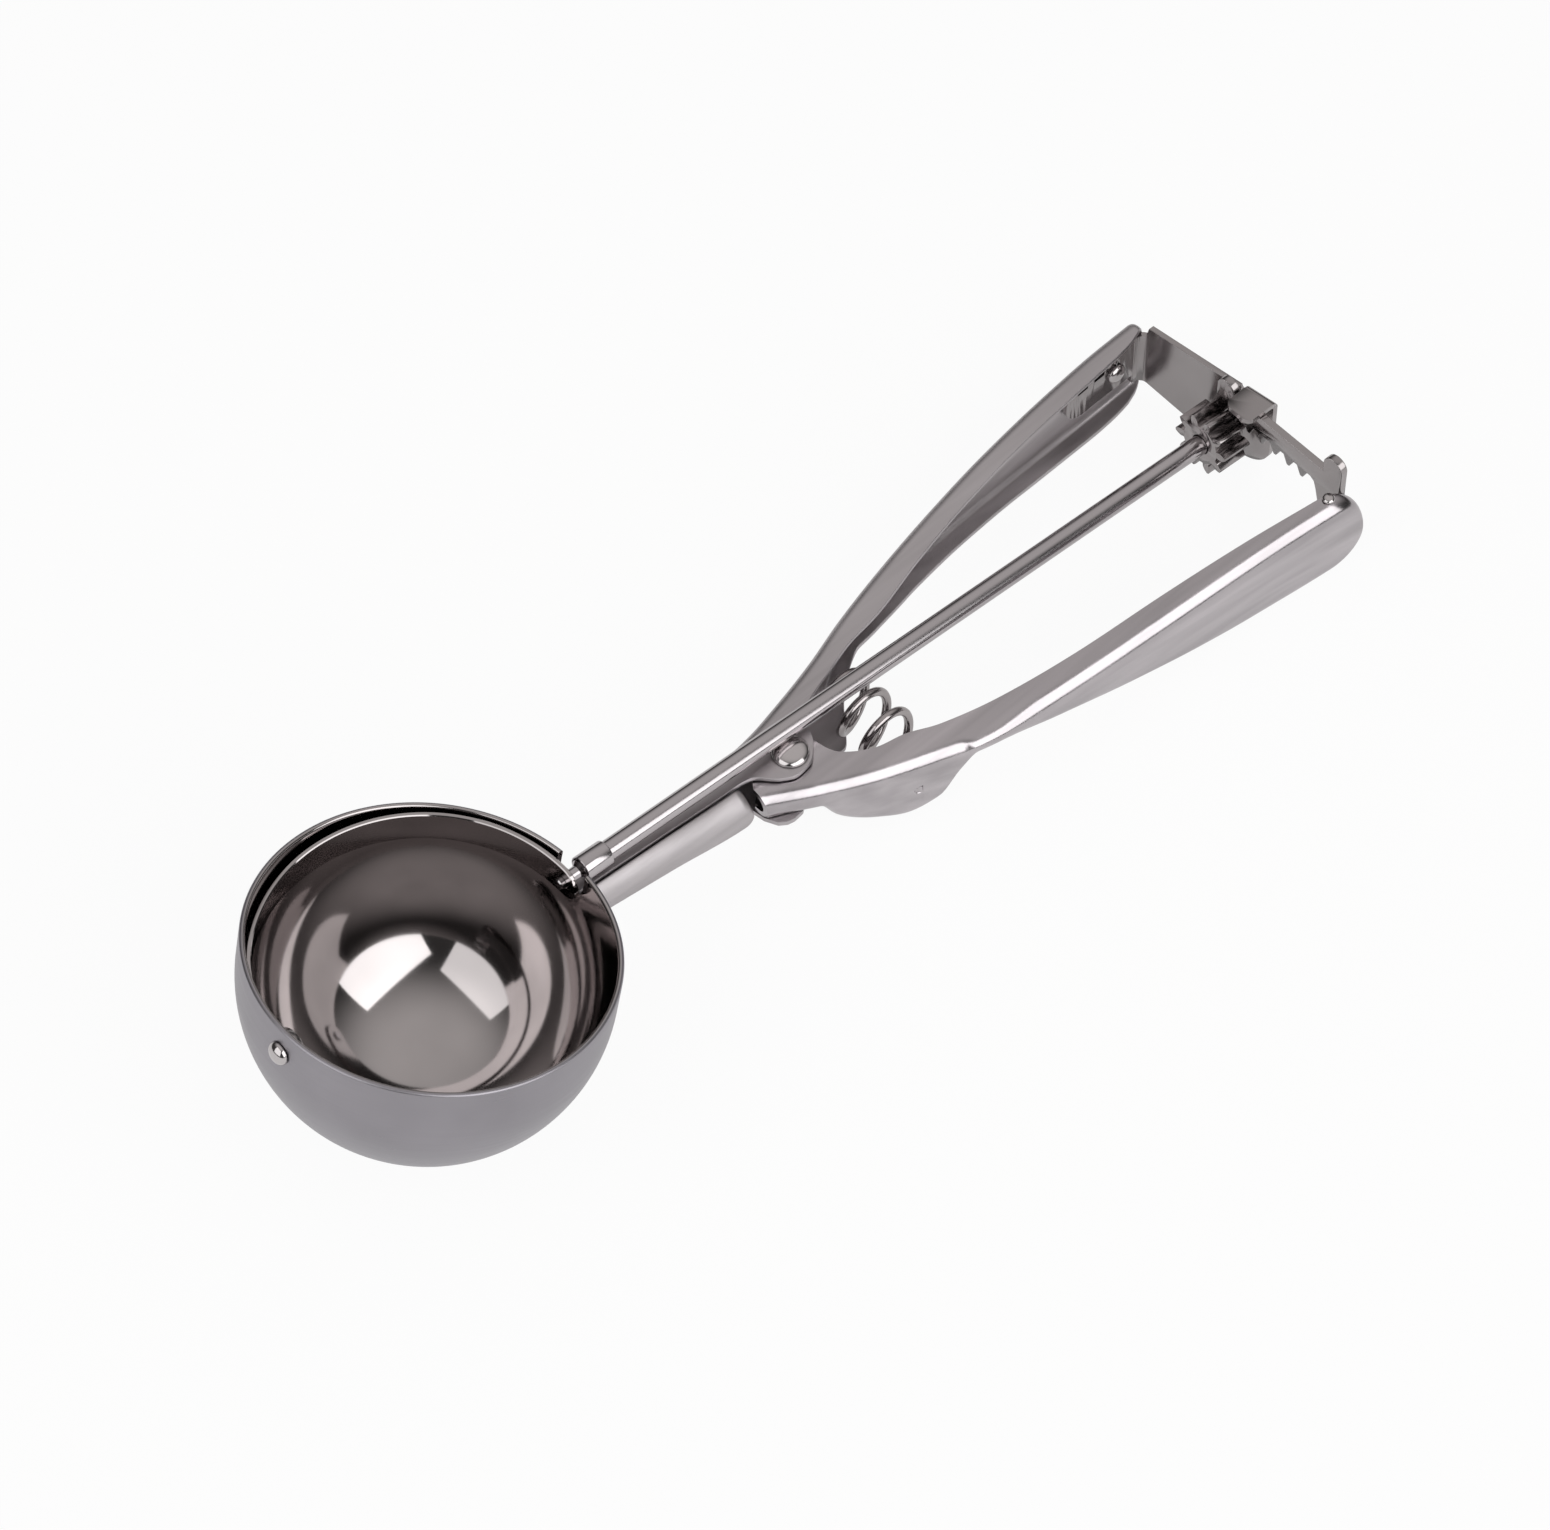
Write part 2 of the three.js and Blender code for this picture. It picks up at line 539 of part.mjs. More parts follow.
function rackGeometry() {
  const tip = RACK_PITCH_Z - ADDENDUM;
  const root = RACK_PITCH_Z + DEDENDUM;
  const slope = Math.tan(PRESSURE);
  const tipHalf = TOOTH_T / 2 - ADDENDUM * slope;
  const rootHalf = TOOTH_T / 2 + DEDENDUM * slope;
  const teeth = [];
  for (let k = 0; k < RACK_TEETH; k++) {
    const y = PITCH * (0.5 - k) - RACK_SHIFT;
    teeth.push([y + rootHalf, root], [y + tipHalf, tip], [y - tipHalf, tip], [y - rootHalf, root]);
  }
  const end = PITCH / 2 - RACK_SHIFT + rootHalf + 0.3;
  const footWeb = leverWeb(RACK_X + RACK_T) + BEND_R + RUN;
  const legWeb = footWeb + 2 * RUN;
  const outline = [
    [end, root],
    ...teeth,
    [LEG_EDGE_Y + 1.4, root],
    [LEG_EDGE_Y + 0.5, root - 0.6],
    [LEG_EDGE_Y, root - 2],
    [LEG_EDGE_Y - 1.8, LEG_BOTTOM],
    [legWeb, LEG_BOTTOM],
    [legWeb, RACK_FOOT_TOP],
    [CLOSING_EAR.y - CLOSING_EAR.r, RACK_FOOT_TOP],
    ...arc(CLOSING_EAR.y, CLOSING_EAR.z, CLOSING_EAR.r, Math.PI, 0, 8),
    [CLOSING_EAR.y + CLOSING_EAR.r, RACK_TOP],
    [end - 2 * OPENING_EAR_R, RACK_TOP],
    ...arc(end - OPENING_EAR_R, RACK_TOP + 0.4, OPENING_EAR_R, Math.PI, 0, 8),
  ];
  const [footFront, footBack] = [RACK_RIVET.x - 2, RACK_X + RACK_T / 2];
  const footEdge = RACK_FOOT_EDGE_Y;
  const foot = [[footFront, footWeb], [footBack, footWeb], [footBack, footEdge], [footFront, footEdge]];
  const hole = rodZ(RACK_RIVET_R + SEAT, -12, 0, 12).translate(RACK_RIVET.x, RACK_RIVET.y, 0);
  const plate = extrudeX(outline, RACK_X, RACK_X + RACK_T);
  return cut(join(plate, extrudeZ(foot, RACK_FOOT_TOP - SHEET, RACK_FOOT_TOP)), hole);
}

function rackRivetGeometry() {
  const top = leverEdges.top(RACK_RIVET.x) + SEAT;
  const g = rivet(RACK_RIVET_R, 1.1, 0.6, top, RACK_FOOT_TOP - SHEET - SEAT, 1.1);
  return g.translate(RACK_RIVET.x, RACK_RIVET.y, 0);
}

// Bracket: a tab riveted inside the fixed handle, a band across to the pinion and a hook over the rack

const TAB_X = 156.6;
const TAB_BEND_R = 3;
const TAB_SLOTS_X = [159.6, 163.6];
const TAB_SLOT = { length: 2.4, z: [-11.6, -10.5] };
const HOOK_CORNER = 1.5;
const RELIEF_R = 0.8;
const BRACKET_RIVET_X = 168.6;
const BRACKET_RIVET_Z = -13.2;
const BRACKET_RIVET_R = 0.9;
const fixedInside = (x) => fixedWeb(x) - SHEET * 1.02;
const bracketHole = () =>
  rodZ(BRACKET_RIVET_R + SEAT, -6, 6, 12)
    .rotateX(Math.PI / 2)
    .translate(BRACKET_RIVET_X, fixedWeb(BRACKET_RIVET_X), BRACKET_RIVET_Z);

// A strip of sheet along a plan line, `line` being its left side when walked.
function strip(line, z0, z1) {
  const points = line.map(([x, y]) => new THREE.Vector2(x, y));
  const offset = points.map((p, i) => {
    const ahead = points[Math.min(i + 1, points.length - 1)];
    const along = ahead.clone().sub(points[Math.max(i - 1, 0)]).normalize();
    return p.clone().add(new THREE.Vector2(along.y, -along.x).multiplyScalar(SHEET));
  });
  return extrudeZ([...points, ...offset.reverse()].map((p) => [p.x, p.y]), z0, z1);
}

const bandBack = (y) => BAND_BACK_X - Math.tan(BAND_SLANT) * y;

function bracketGeometry() {
  const tabY = fixedInside(FIXED_END_X) - RUN;
  const bendY = tabY - TAB_BEND_R;
  const bendX = bandBack(bendY) - TAB_BEND_R / Math.cos(BAND_SLANT);
  const bend = arc(bendX, bendY, TAB_BEND_R, Math.PI / 2, BAND_SLANT, 6);
  const [h0, h1] = HOOK_Y;
  const tabLine = steps(TAB_X, bendX, 8).map((x) => [x, Math.min(tabY, fixedInside(x) - RUN)]);
  const tab = strip([...tabLine, ...bend.slice(1, 3)], ...TAB_Z);
  const bandLine = [...bend, [bandBack(h1), h1], [bandBack(h0), h0]];
  const face = [
    [tabY + 1, BAND_Z[1]],
    [tabY + 1, BAND_Z[0]],
    [bendY + 1, BAND_Z[0]],
    [bendY / 2, BAND_LOW],
    ...arc(h0 + BAND_CORNER, BAND_LOW + BAND_CORNER, BAND_CORNER, 1.5 * Math.PI, Math.PI, 6),
    [h0, HOOK_Z + SHEET],
    [h1, HOOK_Z + SHEET],
    [h1, BAND_TOP],
    [bendY + 0.5, BAND_TOP],
    [bendY + 1, BAND_Z[1]],
  ];
  const band = common(strip(bandLine, BAND_LOW, HOOK_Z + SHEET), extrudeX(face, TAB_X, BAND_BACK_X + 5));
  const [t0, t1] = TAB_Z;
  const endR = (t1 - t0) / 2;
  const tabEnd = [
    [-1, t0 - 1],
    [endR, t0 - 1],
    ...arc(endR, t0 + endR, endR, 1.5 * Math.PI, Math.PI / 2, 16),
    [endR, t1 + 1],
    [-1, t1 + 1],
  ];
  const roundOff = extrude(tabEnd, 8).rotateX(Math.PI / 2).translate(TAB_X, tabY + 3, 0);
  const slots = TAB_SLOTS_X.map((x) => {
    const back = x + TAB_SLOT.length;
    return extrudeZ([[x, bendY], [back, bendY], [back, tabY + 1], [x, tabY + 1]], ...TAB_SLOT.z);
  });
  const hook = [
    [bandBack(h0), h0],
    [bandBack(h1), h1],
    ...arc(HOOK_FRONT_X + HOOK_CORNER, h1 - HOOK_CORNER, HOOK_CORNER, Math.PI / 2, Math.PI, 4),
    ...arc(HOOK_FRONT_X + HOOK_CORNER, h0 + HOOK_CORNER, HOOK_CORNER, Math.PI, 1.5 * Math.PI, 4),
  ];
  const relief = rodX(RELIEF_R, BAND_BACK_X - 3, BAND_BACK_X + 3, 12).translate(0, h1 + RELIEF_R, BAND_TOP);
  const rodHole = rodX(ROD_R + RUN, BAND_BACK_X - 4, BAND_BACK_X + 5, 20).rotateY(ROD_DROP);
  const body = join(tab, band, extrudeZ(hook, HOOK_Z, HOOK_Z + SHEET));
  return cut(body, roundOff, ...slots, relief, rodHole, bracketHole());
}

function bracketRivetGeometry() {
  const outside = fixedWeb(BRACKET_RIVET_X) + SEAT + 0.1;
  const inside = fixedInside(BRACKET_RIVET_X) - RUN - SHEET - SEAT - 0.1;
  const g = rivet(BRACKET_RIVET_R, 1.9, 1.1, -inside, -outside, 1.7);
  return g.rotateX(Math.PI / 2).translate(BRACKET_RIVET_X, 0, BRACKET_RIVET_Z);
}

// Return spring: one unbroken wire whose ends run straight on to the two webs

function springLine() {
  const coil = steps(0, COILS, COILS * COIL_STEPS).map((turn) => {
    const a = Math.PI - 2 * Math.PI * turn;
    const y = THREE.MathUtils.mapLinear(turn, 0, COILS, ...SPRING_Y);
    return new THREE.Vector3(SPRING_X + SPRING_R * Math.cos(a), y, SPRING_Z + SPRING_R * Math.sin(a));
  });
  const { x, z } = coil[0];
  const first = new THREE.Vector3(x, fixedInside(x) - RUN, z);
  const last = new THREE.Vector3(x, leverWeb(x) + SHEET * 1.15 + RUN, z);
  return [first, ...coil, last];
}

function springGeometry() {
  const line = springLine();
  const rings = line.map((p, i) => {
    const ahead = line[Math.min(i + 1, line.length - 1)];
    const behind = line[Math.max(i - 1, 0)];
    const along = ahead.clone().sub(behind).normalize();
    const outward = new THREE.Vector3(p.x - SPRING_X, 0, p.z - SPRING_Z).normalize();
    const across = along.clone().cross(outward).normalize();
    const up = across.clone().cross(along);
    const corners = steps(0, 2 * Math.PI, WIRE_SIDES).slice(0, WIRE_SIDES);
    const outline = corners.map((a) => new THREE.Vector2(WIRE_R * Math.cos(a), WIRE_R * Math.sin(a)));
    const points = outline.map((o) => p.clone().addScaledVector(up, o.x).addScaledVector(across, o.y));
    return { outline, points };
  });
  return closed(loft(rings));
}

function springGap() {
  const line = springLine();
  let least = Infinity;
  line.forEach((p, i) => {
    line.slice(i + COIL_STEPS - 1).forEach((q) => {
      least = Math.min(least, p.distanceTo(q));
    });
  });
  return least - 2 * WIRE_R;
}

// Assembly: bowl frame inside the rod's frame, inside the frame of the handles, inside the lying part

const part = new THREE.Group();
const lying = new THREE.Group();
const handles = new THREE.Group();
const rod = new THREE.Group();
const bowl = new THREE.Group();
part.add(lying);
lying.add(handles);
handles.add(rod);
rod.add(bowl);
rod.rotation.y = ROD_DROP;
bowl.rotation.y = BOWL_LEAN;

function add(group, name, geometry, finish) {
  const mesh = new THREE.Mesh(geometry, new THREE.MeshStandardMaterial(finish));
  mesh.name = name;
  geometry.computeVertexNormals();
  group.add(mesh);
}

add(bowl, "bowl", bowlGeometry(), SATIN);
add(bowl, "front_hanger", hangerGeometry(), SATIN);
add(bowl, "front_rivet", frontRivetGeometry(), BRUSHED);
add(rod, "scraper_pivot_pin", rodX(PIN_R, ...PIN_X, 16), BRUSHED);
add(rod, "scraper_blade", bladeGeometry(), POLISHED);
add(rod, "scraper_rod", rodGeometry(), POLISHED);
const FERRULE_X = ROD_SHOULDER_X + 0.7;
const ferrule = tube(FERRULE_R, ROD_R + SEAT, FERRULE_X, FERRULE_X + FERRULE_L, 0.25);
add(rod, "rod_ferrule", ferrule, POLISHED);
const pinionBore = rodX(ROD_R + SEAT, PINION_X[0] - 5, PINION_X[1] + 5, 20);
const pinion = cut(extrudeX(pinionShape(), ...PINION_X), pinionBore);
add(rod, "pinion", pinion, BRUSHED);
const endHead = tube(END_HEAD_R, ROD_R + SEAT, END_HEAD_X, END_HEAD_X + END_HEAD_T, 0.2);
add(rod, "rod_end_head", endHead, BRUSHED);
add(handles, "fixed_handle", fixedGeometry(), BRUSHED);
add(handles, "lever_handle", leverGeometry(), BRUSHED);
const pivotRivet = rivet(PIVOT_SHANK_R, PIVOT_HEAD_R, 1.2, EAR_TOP + SEAT, EAR_BOTTOM - SEAT, 2.6);
add(handles, "pivot_rivet", pivotRivet.translate(PIVOT.x, PIVOT.y, 0), POLISHED);
add(handles, "return_spring", springGeometry(), WIRE);
add(handles, "gear_bracket", bracketGeometry(), BRUSHED);
add(handles, "bracket_rivet", bracketRivetGeometry(), POLISHED);
add(handles, "rack_plate", rackGeometry(), BRUSHED);
add(handles, "rack_rivet", rackRivetGeometry(), POLISHED);

// The part lies on its bowl and on the lower edges of the handles; its frame is the middle of that footprint.
const reach = Math.hypot(LOW_X, LOW_EDGE);
lying.rotation.y = Math.asin(BOWL_R / reach) - Math.atan2(-LOW_EDGE, LOW_X);
part.updateMatrixWorld(true);
const box = new THREE.Box3().setFromObject(part, true);
lying.position.set(-(box.min.x + box.max.x) / 2, -(box.min.y + box.max.y) / 2, -box.min.z);
part.updateMatrixWorld(true);

// Printed for the record: the joints' places and axes, the coupling, the mount and the spring's least gap.
const show = (v) => v.toArray().map((n) => n.toFixed(4)).join(", ");
const place = (group, x, y, z) => show(group.localToWorld(new THREE.Vector3(x, y, z)));
const direction = (group, x, y, z) => show(new THREE.Vector3(x, y, z).transformDirection(group.matrixWorld));
console.log("least gap of the spring to itself", springGap().toFixed(2));
console.log("size", show(box.getSize(new THREE.Vector3())));
console.log("lever pivot", place(handles, PIVOT.x, PIVOT.y, EAR_TOP), "axis", direction(handles, 0, 0, 1));
console.log("rod centre", place(rod, 0, 0, 0), "axis", direction(rod, 1, 0, 0));
console.log("rim point", place(bowl, 0, BOWL_R - BOWL_WALL / 2, COLLAR), "normal", direction(bowl, 0, 0, 1));
console.log("scraper turns per lever turn", ((RACK_X + RACK_T / 2 - PIVOT.x) / PITCH_R).toFixed(4));

export default part;
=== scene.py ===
import json
import math

import bmesh
import bpy
from mathutils import Matrix, Vector

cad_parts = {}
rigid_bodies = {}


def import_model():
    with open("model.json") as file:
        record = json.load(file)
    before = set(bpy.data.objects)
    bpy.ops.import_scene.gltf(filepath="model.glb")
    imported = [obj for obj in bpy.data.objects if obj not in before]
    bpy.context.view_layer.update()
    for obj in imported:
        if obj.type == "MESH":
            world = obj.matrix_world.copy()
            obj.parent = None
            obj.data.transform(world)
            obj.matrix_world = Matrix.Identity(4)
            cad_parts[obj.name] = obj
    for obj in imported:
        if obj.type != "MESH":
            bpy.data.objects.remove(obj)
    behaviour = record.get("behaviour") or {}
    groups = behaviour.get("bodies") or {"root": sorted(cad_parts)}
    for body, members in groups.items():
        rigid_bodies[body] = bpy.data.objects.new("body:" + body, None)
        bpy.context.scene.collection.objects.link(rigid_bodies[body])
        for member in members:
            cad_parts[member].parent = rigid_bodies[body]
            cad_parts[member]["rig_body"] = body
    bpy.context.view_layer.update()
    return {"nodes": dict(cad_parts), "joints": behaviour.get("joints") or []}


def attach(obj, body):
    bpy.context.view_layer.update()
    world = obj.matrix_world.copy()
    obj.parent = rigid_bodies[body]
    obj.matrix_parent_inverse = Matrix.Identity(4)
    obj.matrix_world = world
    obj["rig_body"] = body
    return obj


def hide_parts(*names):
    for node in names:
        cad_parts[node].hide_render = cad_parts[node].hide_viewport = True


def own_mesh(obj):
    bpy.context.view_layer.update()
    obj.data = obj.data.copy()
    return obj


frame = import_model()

nodes = frame["nodes"]
MM = 0.001
RAD = math.radians(1)

# The photo's camera, in metres in the part's frame
PHOTO = (1550, 1530)
FOCAL_PX = 5500
SENSOR_MM = 36.0
CAMERA_AT = Vector((-0.300023, -0.379929, 0.766161))
CAMERA_RIGHT = Vector((0.74100, -0.66991, -0.04622))
CAMERA_FORWARD = Vector((0.33181, 0.42512, -0.84213))
CAMERA_NEAR = 0.05

# Light: two soft boxes aimed at the bowl, in metres and watts, and a dim room
LIT_POINT = (-0.07, 0, 0.03)
SOFTBOXES = {
    "left_box": {"place": (-1.07, 0.03, 0.77), "size": (1.2, 1.4), "power": 7.0},
    "front_box": {"place": (0.02, -1.05, 0.66), "size": (1.4, 1.1), "power": 10.5},
}
ROOM_TINT = (1, 0.97, 0.96, 1)
SKY_LIGHTEST = (0.34, 0.2, 0.92)  # the direction, overhead and to the rear, the room is lightest in
SKY_FALLOFF = (0.45, 0.95)  # cosines from that direction at which the room is darkest and lightest
SKY_LEVELS = (0.05, 0.62)

# Floor: how white the camera sees it, and how white metal mirrors it near the part and far off
FLOOR_HALF = 3.0
FLOOR_COLOUR = (0.9, 0.9, 0.9, 1)
FLOOR_ROUGHNESS = 0.9
FLOOR_SEEN = 0.93
FLOOR_MIRRORED = (0.4, 0.1)
FLOOR_FADE = (0.3, 1.2)  # metres from the origin between which the mirrored white falls off

# Sheet and clearances, in millimetres as all sizes below
SHEET = 1.0
BEND_R = 2.0
SEAT = 0.15
RUN = 0.3
EDGE_R = 0.16  # broken edges of stamped pieces
FINE_EDGE_R = 0.1  # the same on the rack and the bracket
CHAMFER = 0.2  # at the ends of turned pieces
FLAT = 0.3  # least flat width left on a flange beside its bend
WEB_FLAT = 0.05  # least height left on a web between its bends
CLOSED_HEAD_H = 0.8  # height of a rivet's closed head
CLOSED_HEAD_FLAT = 0.7  # share of that head's radius that is flat

# Bowl, about the sphere's centre
BOWL_R = 30
BOWL_WALL = 1.0
COLLAR = 6.9
BOWL_LEAN = 8 * RAD
SLOT_W = 6.4
BOWL_SEGMENTS = 192

# Rod and what is on it
ROD_DROP = 5 * RAD
ROD_R = 1.75
ROD_TENON_R = 1.1
ROD_SHOULDER_X = BOWL_R + 0.6
ROD_SHOULDER_L = 0.6
ROD_END_ROUND = 0.4
FERRULE_R = 2.2
FERRULE_L = 5.4
FERRULE_X = ROD_SHOULDER_X + 0.7
FERRULE_CHAMFER = 0.25
ROUND_SIDES = 56

# Scraper blade
BLADE_T = 0.8
BLADE_GAP = 0.6
BLADE_R = BOWL_R - BOWL_WALL - BLADE_GAP - BLADE_T / 2
BLADE_FRONT_R = BLADE_R - 1.8
BLADE_W = 6.5
BLADE_FRONT_W = 4.6
BLADE_REST = 3.4 * RAD
ROD_TENON_X = BLADE_R - 1.4

# Front bearing
FRONT_RIVET_Z = COLLAR - 5.0
FRONT_RIVET_R = 2.0
FRONT_RIVET_H = 1.3
FRONT_RIVET_LOW_R = 1.5
FRONT_SHANK_R = 0.9
HANGER_W = 6.0
HANGER_T = 1.4
HANGER_BACK = -BOWL_R + BOWL_WALL + RUN
HANGER_FRONT = HANGER_BACK + HANGER_T
PIN_R = 1.0
PIN_X = (-(BOWL_R - BOWL_WALL - 2 * RUN), -(BLADE_FRONT_R - 1.2))

# Handles
PIVOT = (73.7, -2.4)
PIVOT_SHANK_R = 1.6
PIVOT_HEAD_R = 3.2
PIVOT_HEAD_H = 1.2
PIVOT_LOW_R = 2.6
EAR_TOP = -9.4
LEVER_TOP = EAR_TOP - SHEET - RUN
LEVER_EAR_BOTTOM = -16.2
LEVER_EAR_R = 4.6
LEVER_EAR_ARC = (2.4, -1.2)  # angles in radians between which the lower ear is round
EAR_BOTTOM = LEVER_EAR_BOTTOM - RUN - SHEET
REAR_TOP = -5.5
REAR_X = 170
LOW_EDGE = -23.3
LOW_X = 164
LEVER_X = 65
LEVER_END_X = 177
FIXED_END_X = 174.6
LEVER_END_R = 6
FIXED_END_R = 1.5
NECK_X = BOWL_R - 3
NECK_END_X = 63.2
NECK_END_R = 1.6
LEVER_TOP_R = 3.6  # upper bends that are rounder than BEND_R
NECK_TOP_R = 3.2
NECK_TOP_POWER = 1.45  # the neck's upper bend is more a slope than a round
SEAM = (-2.0, -1.65)
FIXED_SLANT = 1.02  # allowances for the webs' slant, as factors on the sheet's thickness
LEVER_SLANT = 1.15
DIMPLE = {"x": 87.8, "z": -18.0, "r": 1.2, "depth": 0.8}

# Rack and pinion
MODULE = 1.0
PINION_TEETH = 10
PRESSURE = 25 * RAD
ADDENDUM = 0.85 * MODULE
DEDENDUM = 1.1 * MODULE
BACKLASH = 0.2
PINION_EDGE_R = 0.12
PITCH_R = MODULE * PINION_TEETH / 2
PITCH = math.pi * MODULE
TOOTH_T = PITCH / 2 - BACKLASH
PINION_X = (170.0, 176.0)
RACK_X = 175.0
RACK_T = 1.4
RACK_TOP = -5.2
RACK_SHIFT = 0.8
RACK_TEETH = 7
RACK_LAND = 0.3  # plain edge outside the first tooth
RACK_PITCH_Z = -(RACK_X + RACK_T / 2) * math.tan(ROD_DROP) + PITCH_R / math.cos(ROD_DROP)
RACK_RIVET = (171.6, -27.4)
RACK_RIVET_R = 0.7
RACK_HEAD_R = 1.1
RACK_HEAD_H = 0.6
RACK_FOOT_TOP = -9.0
RACK_FOOT_AHEAD = 2  # of the foot's rivet
RACK_FOOT_EDGE_Y = -26.4
LEG_EDGE_Y = -21.4
LEG_CURVE = [(1.4, 0), (0.5, -0.6), (0, -2)]  # from the teeth into the leg, off LEG_EDGE_Y and the roots
LEG_BOTTOM = -18.6
LEG_SLANT = 1.8
CLOSING_EAR = {"y": -24.7, "z": -2.8, "r": 2.1}
OPENING_EAR_R = 2
OPENING_EAR_RISE = 0.4

# Bracket
BAND_BACK_X = 178.2
BAND_SLANT = 7.07 * RAD
BAND_Z = (-19.8, -7.8)
BAND_TOP = -5.4
BAND_LOW = -22.3
BAND_CORNER = 5.5
HOOK_Z = RACK_TOP + RUN
HOOK_Y = (-7.9, -2.1)
HOOK_FRONT_X = 172.2
HOOK_CORNER = 1.5
HOOK_BEND_R = 1.5
RELIEF_R = 0.8
TAB_X = 156.6
TAB_Z = (-17.7, -8.3)
TAB_BEND_R = 3
TAB_SLOTS_X = (159.6, 163.6)
TAB_SLOT = {"length": 2.4, "z": (-11.6, -10.5)}
BRACKET_RIVET = {"x": 168.6, "z": -13.2, "r": 0.9, "head_r": 1.9, "head_h": 1.1, "low_r": 1.7, "play": 0.1}

# Rear end of the rod, behind the bracket
END_HEAD_X = BAND_BACK_X + 1.7
END_HEAD_R = 2.9
END_HEAD_T = 0.8
ROD_END_X = END_HEAD_X + 1.2

# Return spring
SPRING_X = 90.8
SPRING_Z = -16.5
SPRING_R = 4.7
SPRING_LEAN = 0.2  # of the coils, towards the fixed handle at the rear
SPRING_EASE = 0.05  # of a turn taken by the bend from a straight end into the coils
SPRING_BEND = 1.4  # length of straight wire taken by that bend
WIRE_R = 0.77
WIRE_SIDES = 14
COILS = 3
COIL_STEPS = 48
SPRING_Y = (5.2, -10.7)


# Frames: bowl, rod and handles share the sphere's centre and lean about Y

joints = {joint["name"]: joint for joint in frame["joints"]}
CENTRE = Vector(joints["scraper_turn"]["pos_m"])
ACROSS = Vector((0, 1, 0))


def leaning(up):
    up = Vector(up).normalized()
    along = ACROSS.cross(up)
    return Matrix.Translation(CENTRE) @ Matrix((along, ACROSS, up)).transposed().to_4x4()


HANDLES = leaning(joints["lever_squeeze"]["axis"])
ROD = HANDLES @ Matrix.Rotation(ROD_DROP, 4, "Y")
BOWL = ROD @ Matrix.Rotation(BOWL_LEAN, 4, "Y")


# Numbers and outlines


def steps(start, end, count):
    return [start + (end - start) * i / count for i in range(count + 1)]


def arc(x, y, r, start, end, count):
    return [(x + r * math.cos(a), y + r * math.sin(a)) for a in steps(start, end, count)]


def through(points):
    """A smooth function of x through (x, value) points, with no swing past them."""
    last = len(points) - 1

    def rise(i):
        (x0, v0), (x1, v1) = points[i], points[i + 1]
        return (v1 - v0) / (x1 - x0)

    slopes = [rise(0)]
    for i in range(1, last):
        before, after = rise(i - 1), rise(i)
        slopes.append(0 if before * after <= 0 else 2 * before * after / (before + after))
    slopes.append(rise(last - 1))

    def value(x):
        if x <= points[0][0]:
            return points[0][1] + slopes[0] * (x - points[0][0])
        if x >= points[last][0]:
            return points[last][1] + slopes[last] * (x - points[last][0])
        i = max(k for k in range(last) if points[k][0] <= x)
        (x0, v0), (x1, v1) = points[i], points[i + 1]
        h = x1 - x0
        t = (x - x0) / h
        base = v0 * (1 + 2 * t) * (1 - t) ** 2 + v1 * t * t * (3 - 2 * t)
        return base + h * (slopes[i] * t * (1 - t) ** 2 - slopes[i + 1] * t * t * (1 - t))

    return value


# Meshes: points and faces in millimetres, in the piece's own frame


def loft(rings):
    n = len(rings[0])
    points = [p for ring in rings for p in ring]
    faces = []
    for r in range(len(rings) - 1):
        for j in range(n):
            a, b = r * n + j, r * n + (j + 1) % n
            faces.append((a, b, b + n, a + n))
    faces.append(tuple(reversed(range(n))))
    faces.append(tuple(range(len(points) - n, len(points))))
    return points, faces


def lathe(profile, axis, sides=ROUND_SIDES):
    """Turns (radius, height) points, from axis to axis or as a closed ring, about the x or z axis."""
    points, rows, faces = [], [], []

    def place(r, h, a):
        u, v = r * math.cos(a), r * math.sin(a)
        return (h, u, v) if axis == "x" else (u, v, h)

    for r, h in profile:
        count = 1 if r == 0 else sides
        rows.append(range(len(points), len(points) + count))
        points += [place(r, h, 2 * math.pi * k / sides) for k in range(count)]
    pairs = list(zip(rows, rows[1:]))
    if profile[0][0]:
        pairs.append((rows[-1], rows[0]))
    for low, high in pairs:
        for k in range(sides):
            m = (k + 1) % sides
            if len(low) == 1 and len(high) > 1:
                faces.append((low[0], high[m], high[k]))
            elif len(high) == 1 and len(low) > 1:
                faces.append((low[k], low[m], high[0]))
            elif len(low) > 1:
                faces.append((low[k], low[m], high[m], high[k]))
    return points, faces


def extruded(outline, start, end, axis):
    places = {
        "x": lambda a, b, d: (d, a, b),
        "y": lambda a, b, d: (a, d, b),
        "z": lambda a, b, d: (a, b, d),
    }
    place = places[axis]
    return loft([[place(a, b, d) for a, b in outline] for d in (start, end)])


def rod_along(axis, r, start, end, at=(0, 0, 0), sides=32):
    """A plain cylinder, used for holes."""
    points, faces = lathe([(0, start), (r, start), (r, end), (0, end)], axis, sides)
    return moved((points, faces), Matrix.Translation(at))


def moved(shape, matrix):
    points, faces = shape
    return [tuple(matrix @ Vector(p)) for p in points], faces


def solid(name, shape):
    """An object of the shape, its faces turned outwards."""
    points, faces = shape
    mesh = bpy.data.meshes.new(name)
    mesh.from_pydata([Vector(p) * MM for p in points], [], faces)
    made = bmesh.new()
    made.from_mesh(mesh)
    bmesh.ops.recalc_face_normals(made, faces=made.faces)
    made.to_mesh(mesh)
    made.free()
    piece = bpy.data.objects.new(name, mesh)
    bpy.context.scene.collection.objects.link(piece)
    return piece


